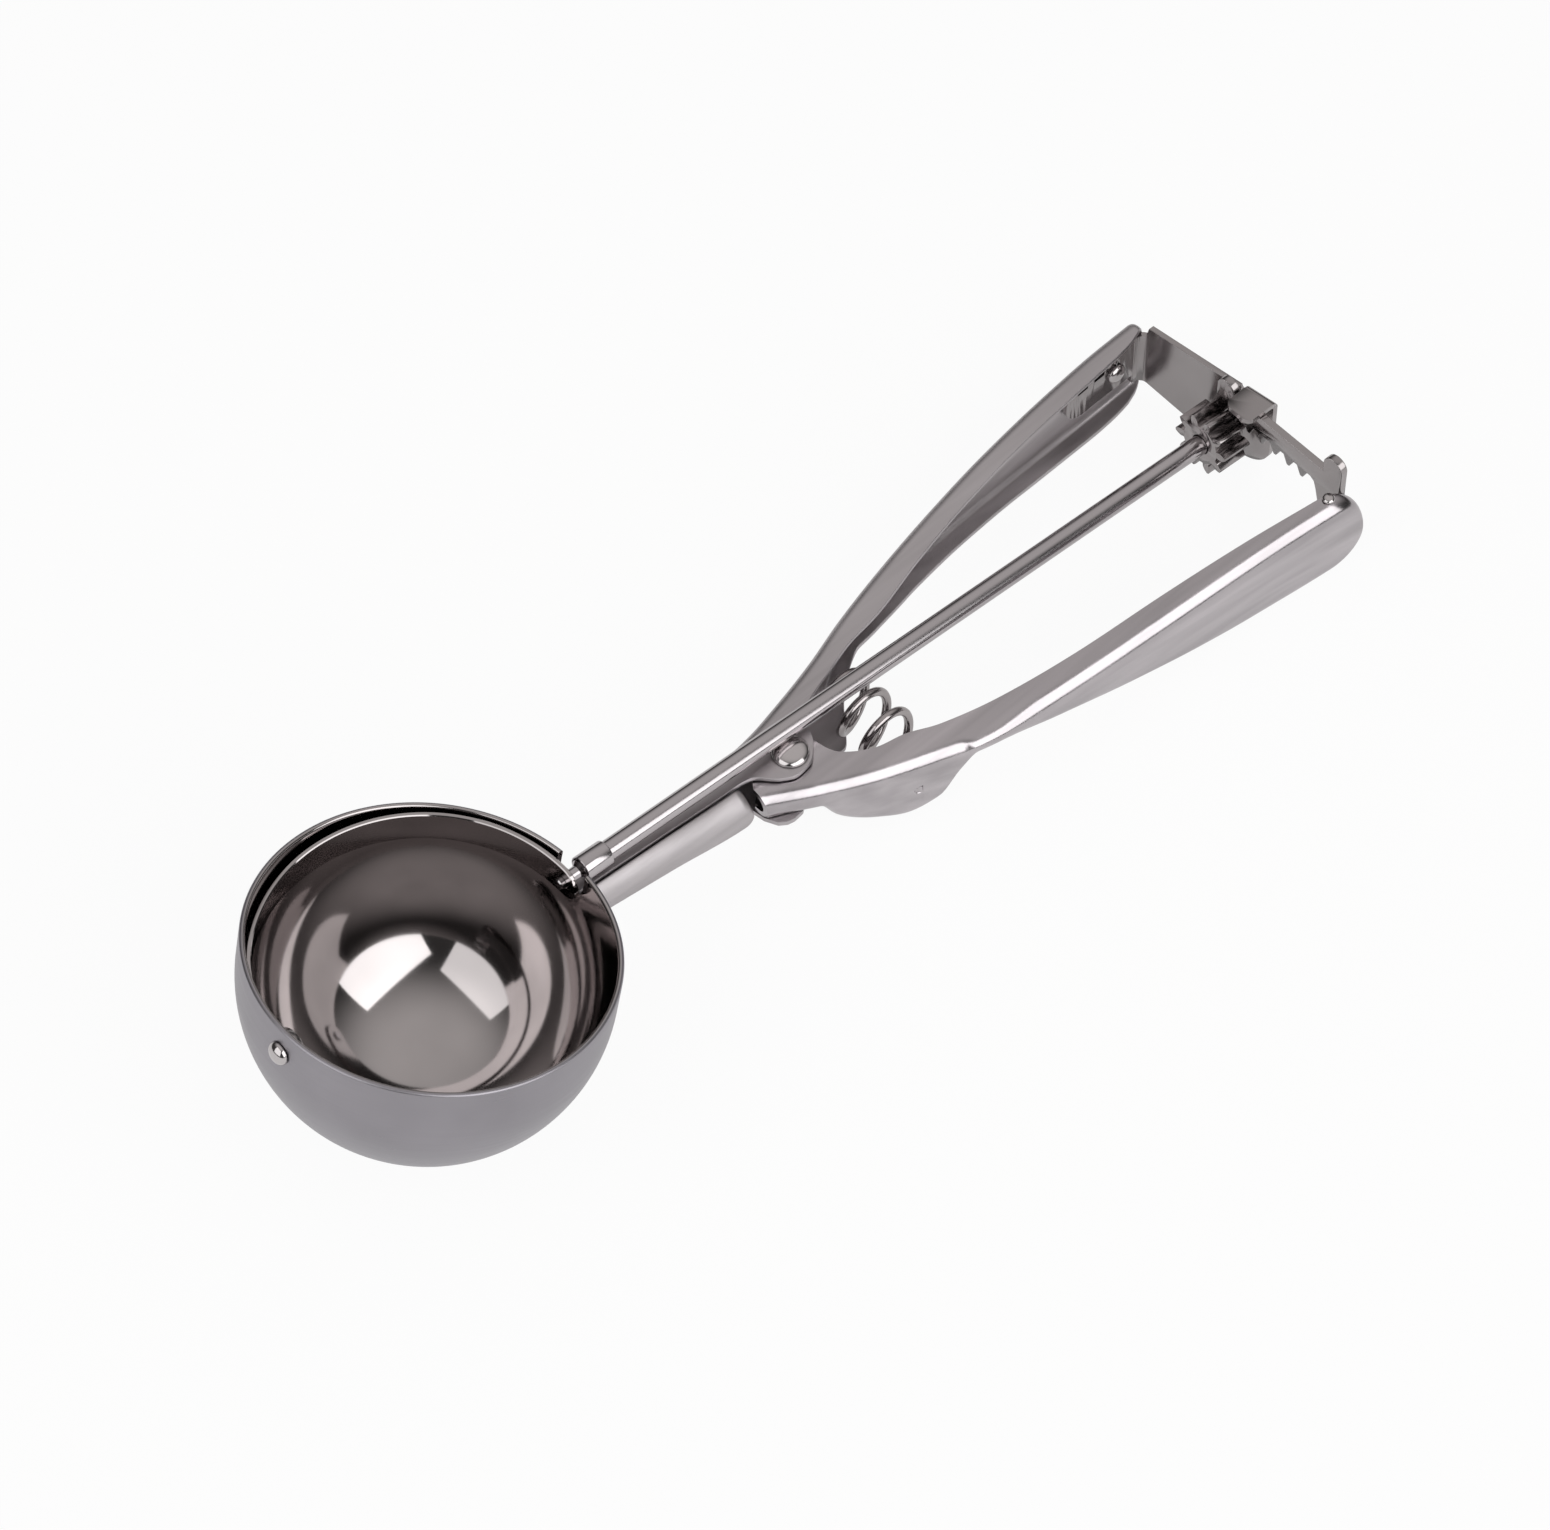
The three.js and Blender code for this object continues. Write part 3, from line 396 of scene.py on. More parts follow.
def settle(piece):
    """Makes the piece's modifiers part of its mesh."""
    graph = bpy.context.evaluated_depsgraph_get()
    mesh = bpy.data.meshes.new_from_object(piece.evaluated_get(graph))
    piece.modifiers.clear()
    piece.data = mesh
    return piece


def combine(piece, operation, *shapes):
    for shape in shapes:
        tool = solid("tool", shape)
        modifier = piece.modifiers.new("combine", "BOOLEAN")
        modifier.operation = operation
        modifier.object = tool
        settle(piece)
        bpy.data.objects.remove(tool)
    return piece


def join(piece, *shapes):
    return combine(piece, "UNION", *shapes)


def cut(piece, *shapes):
    return combine(piece, "DIFFERENCE", *shapes)


def common(piece, *shapes):
    return combine(piece, "INTERSECT", *shapes)


def break_edges(piece, width=EDGE_R, angle=42):
    modifier = piece.modifiers.new("edges", "BEVEL")
    modifier.width = width * MM
    modifier.segments = 2
    modifier.limit_method = "ANGLE"
    modifier.angle_limit = math.radians(angle)
    modifier.harden_normals = True
    return settle(piece)


def dress(piece, node, matrix, material, smooth=34):
    """Puts the piece in place of its node, on the node's body."""
    piece.data.shade_smooth()
    piece.data.set_sharp_from_angle(angle=math.radians(smooth))
    if not piece.data.materials:
        piece.data.materials.append(material)
    piece.matrix_world = matrix
    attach(piece, nodes[node]["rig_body"])
    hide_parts(node)
    return piece


def rivet(shank_r, head_r, head_h, top, bottom, low_r):
    """Along z: a domed head above top, the shank, and a flatter closed head under bottom."""
    under = bottom - CLOSED_HEAD_H
    flat_r = low_r * CLOSED_HEAD_FLAT
    low = [(0, under), (flat_r, under)]
    low += arc(flat_r, under + CLOSED_HEAD_H / 2, low_r - flat_r, -math.pi / 2, 0, 5)[1:]
    dome = [(head_r * math.cos(a), top + head_h * math.sin(a)) for a in steps(0, math.pi / 2, 12)]
    dome[-1] = (0, top + head_h)
    return lathe([*low, (low_r, bottom), (shank_r, bottom), (shank_r, top), *dome], "z")


# Bowl and front bearing


def bowl_fill(r, top):
    profile = [*arc(0, 0, r, -math.pi / 2, 0, 40), (r, top), (0, top)]
    profile[0] = (0, -r)
    return lathe(profile, "z", BOWL_SEGMENTS)


def rod_height(x):
    """Height of the rod's axis in the bowl's frame."""
    return math.tan(BOWL_LEAN) * x


def make_bowl():
    inner = BOWL_R - BOWL_WALL
    lip = BOWL_WALL / 2
    outside = arc(0, 0, BOWL_R, -math.pi / 2, 0, 48)
    inside = arc(0, 0, inner, 0, -math.pi / 2, 48)
    rim = arc(inner + lip, COLLAR - lip, lip, 0, math.pi, 10)
    profile = [*outside, *rim, *inside]
    profile[0] = (0, -BOWL_R)
    profile[-1] = (0, -inner)
    piece = solid("bowl_shell", lathe(profile, "z", BOWL_SEGMENTS))
    z = rod_height(BOWL_R)
    half = SLOT_W / 2
    slot = [(half, COLLAR + 2), (-half, COLLAR + 2), *arc(0, z, half, math.pi, 2 * math.pi, 24)]
    hole = rod_along("x", FRONT_SHANK_R + SEAT, -BOWL_R - 2, -BOWL_R + 3, (0, 0, FRONT_RIVET_Z))
    cut(piece, extruded(slot, BOWL_R - 5, BOWL_R + 5, "x"), hole)
    piece.data.materials.append(SPUN_SATIN)
    piece.data.materials.append(MIRROR)
    middle = (BOWL_R + inner) / 2 * MM
    # Faces that look inwards are polished
    for face in piece.data.polygons:
        out = Vector((face.center.x, face.center.y, min(face.center.z, 0)))
        face.material_index = 1 if out.length < middle and face.normal.dot(out) < 0 else 0
    dress(piece, "bowl", BOWL, SPUN_SATIN)


def make_hanger():
    low = rod_height(HANGER_FRONT)
    half = HANGER_W / 2
    upper = arc(0, FRONT_RIVET_Z, half, 0, math.pi, 20)
    lower = arc(0, low, half, math.pi, 2 * math.pi, 20)
    hanger = solid("hanger", extruded([*upper, *lower], HANGER_BACK, HANGER_FRONT, "x"))
    common(hanger, bowl_fill(-HANGER_BACK, COLLAR))
    pin_hole = rod_along("x", PIN_R + SEAT, -BOWL_R, -BOWL_R + 6)
    rivet_hole = rod_along("x", FRONT_SHANK_R + SEAT, -BOWL_R, -BOWL_R + 6, (0, 0, FRONT_RIVET_Z))
    cut(hanger, rivet_hole, moved(pin_hole, Matrix.Rotation(-BOWL_LEAN, 4, "Y")))
    break_edges(hanger)
    dress(hanger, "front_hanger", BOWL, BRUSHED)


def make_front_rivet():
    top, bottom = BOWL_R + SEAT, -HANGER_FRONT - SEAT
    head = rivet(FRONT_SHANK_R, FRONT_RIVET_R, FRONT_RIVET_H, top, bottom, FRONT_RIVET_LOW_R)
    turn = Matrix.Translation((0, 0, FRONT_RIVET_Z)) @ Matrix.Rotation(-math.pi / 2, 4, "Y")
    dress(solid("rim_rivet", moved(head, turn)), "front_rivet", BOWL, POLISHED)


def make_pivot_pin():
    x0, x1 = PIN_X
    tip_r = PIN_R - CHAMFER
    pin = [(0, x0), (tip_r, x0), (PIN_R, x0 + CHAMFER), (PIN_R, x1 - CHAMFER), (tip_r, x1), (0, x1)]
    dress(solid("blade_pin", lathe(pin, "x")), "scraper_pivot_pin", ROD, POLISHED)


# Scraper: blade, rod, ferrule, pinion and end head


def make_blade():
    reach = BLADE_W / 2 / BLADE_R
    front_reach = BLADE_FRONT_W / 2 / BLADE_FRONT_R
    radius = through([(0, BLADE_R), (130, BLADE_R), (180, BLADE_FRONT_R), (190, BLADE_FRONT_R)])
    width = through([(0, BLADE_W), (90, BLADE_W), (150, BLADE_FRONT_W), (180, BLADE_FRONT_W)])
    angles = [reach * math.sin(k * math.pi / 2) for k in steps(-0.99, 0, 12)]
    angles += steps(0, math.pi, 120)[1:-1]
    angles += [math.pi + front_reach * math.sin(k * math.pi / 2) for k in steps(0, 0.99, 12)]
    thin = BLADE_T / 2

    def ring(a):
        past = max(-a / reach, (a - math.pi) / front_reach, 0)
        w = width(min(max(a / RAD, 0), 180)) / 2 * math.sqrt(max(0.02, 1 - past * past))
        e = min(EDGE_R, w / 3)
        corners = [(w - e, thin), (w, thin - e), (w, e - thin), (w - e, -thin)]
        corners += [(-side, -out) for side, out in corners]
        r = radius(a / RAD)
        return [((r + out) * math.cos(a), (r + out) * math.sin(a), side) for side, out in corners]

    piece = solid("blade_arc", loft([ring(a) for a in angles]))
    rear = rod_along("x", ROD_TENON_R + SEAT, BLADE_R - 4, BLADE_R + 4)
    front = rod_along("x", PIN_R + RUN, -BLADE_FRONT_R - 4, -BLADE_FRONT_R + 4)
    cut(piece, rear, front)
    turn = Matrix.Rotation(BLADE_REST, 4, "X")
    dress(piece, "scraper_blade", ROD @ turn, MIRROR)


def tube(outer, inner, x0, x1, chamfer):
    front = [(inner, x0), *arc(outer - chamfer, x0 + chamfer, chamfer, -math.pi / 2, 0, 4)]
    back = [*arc(outer - chamfer, x1 - chamfer, chamfer, 0, math.pi / 2, 4), (inner, x1)]
    return lathe([*front, *back], "x")


def make_rod():
    profile = [
        (0, ROD_TENON_X),
        (ROD_TENON_R - CHAMFER, ROD_TENON_X),
        (ROD_TENON_R, ROD_TENON_X + CHAMFER),
        (ROD_TENON_R, ROD_SHOULDER_X),
        (ROD_R, ROD_SHOULDER_X + ROD_SHOULDER_L),
        *[(ROD_R, x) for x in steps(ROD_SHOULDER_X + 1, ROD_END_X - ROD_END_ROUND, 12)],
        *arc(ROD_R - ROD_END_ROUND, ROD_END_X - ROD_END_ROUND, ROD_END_ROUND, 0, math.pi / 2, 5)[1:],
        (0, ROD_END_X),
    ]
    dress(solid("drive_rod", lathe(profile, "x")), "scraper_rod", ROD, ROD_STEEL)


def make_ferrule():
    ferrule = tube(FERRULE_R, ROD_R + SEAT, FERRULE_X, FERRULE_X + FERRULE_L, FERRULE_CHAMFER)
    dress(solid("ferrule", ferrule), "rod_ferrule", ROD, ROD_STEEL)


def make_end_head():
    head = tube(END_HEAD_R, ROD_R + SEAT, END_HEAD_X, END_HEAD_X + END_HEAD_T, CHAMFER)
    dress(solid("end_head", head), "rod_end_head", ROD, POLISHED)


def pinion_outline():
    base = PITCH_R * math.cos(PRESSURE)
    tip = PITCH_R + ADDENDUM
    root = PITCH_R - DEDENDUM

    def involute(a):
        return math.tan(a) - a

    half = TOOTH_T / (2 * PITCH_R) + involute(PRESSURE)
    tooth = [(root, half)]
    tooth += [(r, half - involute(math.acos(min(1, base / r)))) for r in steps(base, tip, 6)]
    outline = []
    for k in range(PINION_TEETH):
        middle = math.pi / 2 + RACK_SHIFT / PITCH_R + 2 * math.pi * k / PINION_TEETH
        flanks = [(r, middle - a) for r, a in tooth] + [(r, middle + a) for r, a in reversed(tooth)]
        outline += [(r * math.cos(a), r * math.sin(a)) for r, a in flanks]
    return outline


def make_pinion():
    piece = solid("gear", extruded(pinion_outline(), *PINION_X, "x"))
    cut(piece, rod_along("x", ROD_R + SEAT, PINION_X[0] - 5, PINION_X[1] + 5, sides=ROUND_SIDES))
    break_edges(piece, PINION_EDGE_R)
    dress(piece, "pinion", ROD, BRUSHED)


# Handles: stamped channels along x


def channel_outline(web, side, top, bottom, top_tip, bottom_tip, top_r, top_power):
    """Section in the y, z plane: web at y = web, flanges towards side, sheet edges rounded over.

    top_r gives the upper bend's outer radii across and down the section. A top_power of 1 makes it round
    and a larger one flatter, like a slope; the lower bend is a plain round one.
    """
    half = SHEET / 2
    bottom_r = (BEND_R, BEND_R)

    def bend(radii, thick, z, start, count, power=1):
        across, down = (r - thick for r in radii)
        quarter = arc(0, 0, 1, start, start + math.pi / 2, count)
        curve = [[math.copysign(abs(v) ** power, v) for v in point] for point in quarter]
        return [(web + side * (radii[0] + across * c), z + down * s) for c, s in curve]

    def nose(tip, z, start):
        """The rounded edge of a flange, as an ellipse half as long as the sheet is thick."""
        turn = [start + math.pi * k for k in (0.12, 0.31, 0.5, 0.69, 0.88)]
        return [(tip + side * (half * math.cos(a) / 2 - half / 2), z + half * math.sin(a)) for a in turn]

    return [
        *bend(top_r, 0, top - top_r[1], math.pi / 2, 12, top_power),
        *bend(bottom_r, 0, bottom + BEND_R, math.pi, 9),
        *nose(bottom_tip, bottom + half, -math.pi / 2),
        *reversed(bend(bottom_r, SHEET, bottom + BEND_R, math.pi, 6)),
        *reversed(bend(top_r, SHEET, top - top_r[1], math.pi / 2, 8, top_power)),
        *nose(top_tip, top - half, -math.pi / 2),
    ]


def channel(xs, edges, side, end_r, top_r=BEND_R, top_power=1):
    """The rear corners of the channel are rounded by end_r, its upper bend by top_r where there is room."""
    rings = []
    for x in xs:
        past = max(0, x - (xs[-1] - end_r))
        inset = end_r - math.sqrt(max(0, end_r * end_r - past * past))
        web = edges["web"](x)
        least = side * web + BEND_R + FLAT
        tips = [side * max(side * edges[name](x), least) for name in ("top_tip", "bottom_tip")]
        top, bottom = edges["top"](x) - inset, edges["bottom"](x) + inset
        radii = (min(top_r, side * (tips[0] - web) - FLAT), min(top_r, top - bottom - BEND_R - WEB_FLAT))
        outline = channel_outline(web, side, top, bottom, *tips, radii, top_power)
        rings.append([(x, y, z) for y, z in outline])
    return loft(rings)


def rounded_end(end, r):
    return [end - r + r * math.sin(k * math.pi / 2) for k in steps(0, 0.97, 14)] + [end]


def stations(*spans):
    """Stations along x over (start, end, step) spans that follow each other."""
    xs = []
    for start, end, step in spans:
        xs += steps(start, end, max(1, round((end - start) / step)))[:-1]
    return xs


lever_web = through([
    (LEVER_X, -6.5), (73, -11.05), (82, -15.45), (92, -19.3), (98.5, -21.6), (104, -22.8),
    (118, -24.65), (138.6, -26.75), (160, -28.85), (LEVER_END_X, -31.0),
])
lever_bottom = through([
    (LEVER_X, LEVER_EAR_BOTTOM), (73, LEVER_EAR_BOTTOM), (75.8, -20), (78.5, -22), (81.6, -23.4),
    (86.5, -24.8), (91.5, -23.1), (95, -17.3), (98, -14.1), (102, -14.1), (113.6, -16.2), (130, -19.7),
    (143, -21.9), (154, -23.0), (LOW_X, LOW_EDGE), (LEVER_END_X, LOW_EDGE + 0.6),
])
LEVER_FLANGE = [
    (86, -10.6), (90, -11.5), (95.8, -14.1), (106.5, -17.1), (122, -19.7),
    (138.5, -21.5), (154.8, -23.6), (166.8, -25.5), (172, -26.4), (LEVER_END_X, -28.6),
]
lever_edges = {
    "web": lever_web,
    "top": through([(LEVER_X, LEVER_TOP), (80, LEVER_TOP), (REAR_X, REAR_TOP), (LEVER_END_X, -5.2)]),
    "bottom": lever_bottom,
    "top_tip": through([
        (LEVER_X, -3.0), (67, -0.6), (69.5, 1.2), (73.7, 2.2), (77, 0.9), (78.3, -1.0), (79.3, -5.2),
        (80.2, -6.9), (84.5, -10.0), *LEVER_FLANGE,
    ]),
    "bottom_tip": through([
        (LEVER_X, -3.4), (70, -5.0), (73, -7.0), (75, -8.6), (80, -9.8), *LEVER_FLANGE,
    ]),
}
fixed_web = through([
    (NECK_X, 3.0), (46, 3.3), (58, 3.9), (64, 4.35), (70.8, 5.05), (77.8, 6.5), (87.8, 9.05), (97.5, 12.1),
    (107.7, 14.7), (122, 17.6), (137.4, 20.0), (153.7, 21.6), (166.5, 22.3), (175, 22.4),
])
fixed_top = through([
    (NECK_X, -5.3), (46, -7.4), (63, -9.3), (66, EAR_TOP), (80, EAR_TOP), (REAR_X, REAR_TOP), (175, -5.3),
])
fixed_bottom = through([
    (NECK_X, -11.6), (46, -14.4), (63.5, EAR_BOTTOM), (73, EAR_BOTTOM),
    (75.8, -20), (78.5, -22), (81.6, -23.4), (86.5, -24.6),
    (91.5, -22.6), (95, -17.3), (98, -14.1), (102, -14.1), (110.6, -15.7), (123, -18.1),
    (137, -20.6), (150, -22.4), (LOW_X, LOW_EDGE), (175, LOW_EDGE + 0.6),
])
FIXED_FLANGE = [
    (96, 7.1), (102.2, 8.0), (114.9, 11.3), (127.7, 14.0), (141.5, 16.0), (155.3, 17.2),
    (166.7, 18.0), (171, 18.6), (175, 20.1),
]
EAR = [(65.7, -2.1), (69.1, -5.3), (71.8, -6.6), (74.7, -6.2), (77.2, -4.2), (78.6, -2.3), (79.0, -1.0)]
LOWER_EAR = [
    (64.6, -2.6), (65.1, -5.5), (66.2, -7.7), (67.4, -8.6), (68.7, -8.9), (70.7, -8.7), (72.3, -7.6),
    (74.7, -6.2),
]
fixed_edges = {
    "web": fixed_web,
    "top": fixed_top,
    "bottom": fixed_bottom,
    "top_tip": through([
        (NECK_X, SEAM[1]), (63, SEAM[1]), *EAR, (80, 1.2), (82, 2.6), (85, 3.8), (88, 4.7), *FIXED_FLANGE,
    ]),
    "bottom_tip": through([
        (NECK_X, -2.4), (62, -2.4), (66, -1.0), (74, 0.5), (79, 0.2), (83, -0.6), (87, -0.8), (90, 2.2),
        (92.5, 5.2), *FIXED_FLANGE,
    ]),
}
neck_edges = {
    "web": through([(NECK_X, -4.2), (46, -4.9), (NECK_END_X, -5.3)]),
    "top": fixed_top,
    "bottom": fixed_bottom,
    "top_tip": lambda x: SEAM[0],
    "bottom_tip": lambda x: -0.4,
}


def fixed_inside(x):
    return fixed_web(x) - SHEET * FIXED_SLANT


def pivot_hole():
    return rod_along("z", PIVOT_SHANK_R + RUN, -30, 0, (*PIVOT, 0))


def rack_rivet_hole():
    return rod_along("z", RACK_RIVET_R + SEAT, -12, 0, (*RACK_RIVET, 0))


def bracket_hole():
    hole = rod_along("z", BRACKET_RIVET["r"] + SEAT, -6, 6)
    place = Matrix.Translation((BRACKET_RIVET["x"], fixed_web(BRACKET_RIVET["x"]), BRACKET_RIVET["z"]))
    return moved(hole, place @ Matrix.Rotation(math.pi / 2, 4, "X"))


def dimple():
    cone = lathe([(0, -DIMPLE["depth"]), (DIMPLE["r"], 0.3), (0, 0.3)], "z", 32)
    place = Matrix.Translation((DIMPLE["x"], lever_web(DIMPLE["x"]), DIMPLE["z"]))
    return moved(cone, place @ Matrix.Rotation(math.pi / 2, 4, "X"))


def make_lever():
    spans = stations((LEVER_X, 77, 0.5), (77, 81, 0.2), (81, 104, 0.6), (104, LEVER_END_X - LEVER_END_R, 1.6))
    xs = spans + rounded_end(LEVER_END_X, LEVER_END_R)
    piece = solid("lever_channel", channel(xs, lever_edges, 1, LEVER_END_R, LEVER_TOP_R))
    round_ear = arc(*PIVOT, LEVER_EAR_R, *LEVER_EAR_ARC, 32)
    ear = [(65.4, -6), (65.4, -3), *round_ear, (73.4, -10.2), (70, -8.2)]
    join(piece, extruded(ear, LEVER_EAR_BOTTOM, LEVER_EAR_BOTTOM + SHEET, "z"))
    cut(piece, pivot_hole(), rack_rivet_hole(), dimple())
    dress(piece, "lever_handle", HANDLES, HANDLE_STEEL)


def make_fixed_handle():
    neck_xs = stations((NECK_X, NECK_END_X - 2, 1.2)) + [NECK_END_X - 2]
    spans = stations((NECK_END_X + 0.3, 77, 0.5), (77, 82, 0.25), (82, 104, 0.6), (104, FIXED_END_X - 2, 1.6))
    xs = neck_xs + spans + rounded_end(FIXED_END_X, FIXED_END_R)
    piece = solid("fixed_channel", channel(xs, fixed_edges, -1, FIXED_END_R))
    fold_xs = neck_xs[:-1] + rounded_end(NECK_END_X, NECK_END_R)
    ear = [(64, 3.9), (64, -1.6), *LOWER_EAR, *EAR[-3:], (79.2, 6.0), (73, 4.9)]
    join(
        piece,
        channel(fold_xs, neck_edges, 1, NECK_END_R, NECK_TOP_R, NECK_TOP_POWER),
        extruded(ear, EAR_BOTTOM, EAR_BOTTOM + SHEET, "z"),
    )
    bowl = moved(bowl_fill(BOWL_R + RUN, COLLAR + 5), Matrix.Rotation(ROD_DROP + BOWL_LEAN, 4, "Y"))
    cut(piece, bowl, pivot_hole(), bracket_hole())
    dress(piece, "fixed_handle", HANDLES, DULL_STEEL_PAINTED_LIFT)


def make_pivot_rivet():
    top, bottom = EAR_TOP + SEAT, EAR_BOTTOM - SEAT
    shape = rivet(PIVOT_SHANK_R, PIVOT_HEAD_R, PIVOT_HEAD_H, top, bottom, PIVOT_LOW_R)
    shape = moved(shape, Matrix.Translation((*PIVOT, 0)))
    dress(solid("pivot_head", shape), "pivot_rivet", HANDLES, POLISHED)


# Rack and bracket


def make_rack():
    tip = RACK_PITCH_Z - ADDENDUM
    root = RACK_PITCH_Z + DEDENDUM
    slope = math.tan(PRESSURE)
    tip_half = TOOTH_T / 2 - ADDENDUM * slope
    root_half = TOOTH_T / 2 + DEDENDUM * slope
    teeth = []
    for k in range(RACK_TEETH):
        y = PITCH * (0.5 - k) - RACK_SHIFT
        teeth += [(y + root_half, root), (y + tip_half, tip), (y - tip_half, tip), (y - root_half, root)]
    end = PITCH / 2 - RACK_SHIFT + root_half + RACK_LAND
    foot_web = lever_web(RACK_X + RACK_T) + BEND_R + RUN
    leg_web = foot_web + 2 * RUN
    ear_y, ear_z, ear_r = CLOSING_EAR["y"], CLOSING_EAR["z"], CLOSING_EAR["r"]
    outline = [
        (end, root),
        *teeth,
        *[(LEG_EDGE_Y + y, root + z) for y, z in LEG_CURVE],
        (LEG_EDGE_Y - LEG_SLANT, LEG_BOTTOM),
        (leg_web, LEG_BOTTOM),
        (leg_web, RACK_FOOT_TOP),
        (ear_y - ear_r, RACK_FOOT_TOP),
        *arc(ear_y, ear_z, ear_r, math.pi, 0, 20),
        (ear_y + ear_r, RACK_TOP),
        (end - 2 * OPENING_EAR_R, RACK_TOP),
        *arc(end - OPENING_EAR_R, RACK_TOP + OPENING_EAR_RISE, OPENING_EAR_R, math.pi, 0, 20),
    ]
    front, back = RACK_RIVET[0] - RACK_FOOT_AHEAD, RACK_X + RACK_T / 2
    foot = [(front, foot_web), (back, foot_web), (back, RACK_FOOT_EDGE_Y), (front, RACK_FOOT_EDGE_Y)]
    piece = solid("rack", extruded(outline, RACK_X, RACK_X + RACK_T, "x"))
    join(piece, extruded(foot, RACK_FOOT_TOP - SHEET, RACK_FOOT_TOP, "z"))
    cut(piece, rack_rivet_hole())
    break_edges(piece, FINE_EDGE_R)
    dress(piece, "rack_plate", HANDLES, BRUSHED)


def make_rack_rivet():
    top = lever_edges["top"](RACK_RIVET[0]) + SEAT
    bottom = RACK_FOOT_TOP - SHEET - SEAT
    shape = rivet(RACK_RIVET_R, RACK_HEAD_R, RACK_HEAD_H, top, bottom, RACK_HEAD_R)
    shape = moved(shape, Matrix.Translation((*RACK_RIVET, 0)))
    dress(solid("rack_foot_rivet", shape), "rack_rivet", HANDLES, POLISHED)


def band_back(y):
    return BAND_BACK_X - math.tan(BAND_SLANT) * y


def strip(line, z0, z1):
    """A strip of sheet along a plan line, the line being its left side when walked."""
    points = [Vector(p) for p in line]
    offset = []
    for i, p in enumerate(points):
        along = (points[min(i + 1, len(points) - 1)] - points[max(i - 1, 0)]).normalized()
        offset.append(p + Vector((along.y, -along.x)) * SHEET)
    return extruded([tuple(p) for p in points + offset[::-1]], z0, z1, "z")


def hook_shape():
    """The hook: the band's top bent forward over the rack."""
    h0, h1 = HOOK_Y
    top = HOOK_Z + SHEET
    inner = HOOK_BEND_R - SHEET
    outside = arc(-HOOK_BEND_R, top - HOOK_BEND_R, HOOK_BEND_R, 0, math.pi / 2, 8)
    inside = arc(-HOOK_BEND_R, top - HOOK_BEND_R, inner, math.pi / 2, 0, 8)
    low = BAND_TOP - 2
    side = [(0, low), *outside, (HOOK_FRONT_X - BAND_BACK_X - 2, top)]
    side += [(HOOK_FRONT_X - BAND_BACK_X - 2, HOOK_Z), *inside, (-SHEET, low)]
    return loft([[(band_back(y) + x, y, z) for x, z in side] for y in (h0, h1)])


def band_face(tab_y, bend_y):
    """The band as seen from behind, with a round low corner and a relief beside the hook."""
    h0, h1 = HOOK_Y
    corner = arc(h0 + BAND_CORNER, BAND_LOW + BAND_CORNER, BAND_CORNER, 1.5 * math.pi, math.pi, 16)
    relief = arc(h1 + RELIEF_R, BAND_TOP, RELIEF_R, math.pi, 2 * math.pi, 12)
    face = [
        (tab_y + 1, BAND_Z[1]),
        (tab_y + 1, BAND_Z[0]),
        (bend_y + 1, BAND_Z[0]),
        (bend_y / 2, BAND_LOW),
        *corner,
        (h0, HOOK_Z - HOOK_BEND_R + SHEET),
        (h1, HOOK_Z - HOOK_BEND_R + SHEET),
        *relief,
        (bend_y + 0.5, BAND_TOP),
        (bend_y + 1, BAND_Z[1]),
    ]
    return extruded(face, TAB_X, BAND_BACK_X + 5, "x")


def tab_end_waste(tab_y):
    """What is cut away to round the tab's front end."""
    t0, t1 = TAB_Z
    r = (t1 - t0) / 2
    outline = [
        (TAB_X - 1, t0 - 1),
        (TAB_X + r, t0 - 1),
        *arc(TAB_X + r, t0 + r, r, 1.5 * math.pi, math.pi / 2, 24),
        (TAB_X + r, t1 + 1),
        (TAB_X - 1, t1 + 1),
    ]
    return extruded(outline, tab_y - 5, tab_y + 3, "y")


def hook_front_waste():
    """What is cut away to trim the hook and round its front corners."""
    h0, h1 = HOOK_Y
    r = HOOK_CORNER
    plan = [
        (HOOK_FRONT_X - 5, h0 - 1),
        (HOOK_FRONT_X + r, h0 - 1),
        (HOOK_FRONT_X + r, h0),
        *arc(HOOK_FRONT_X + r, h0 + r, r, 1.5 * math.pi, math.pi, 10),
        *arc(HOOK_FRONT_X + r, h1 - r, r, math.pi, math.pi / 2, 10),
        (HOOK_FRONT_X + r, h1 + 1),
        (HOOK_FRONT_X - 5, h1 + 1),
    ]
    return extruded(plan, HOOK_Z - 1, HOOK_Z + SHEET + 1, "z")


def tab_slot(x, bend_y, tab_y):
    back = x + TAB_SLOT["length"]
    plan = [(x, bend_y), (back, bend_y), (back, tab_y + 1), (x, tab_y + 1)]
    return extruded(plan, *TAB_SLOT["z"], "z")


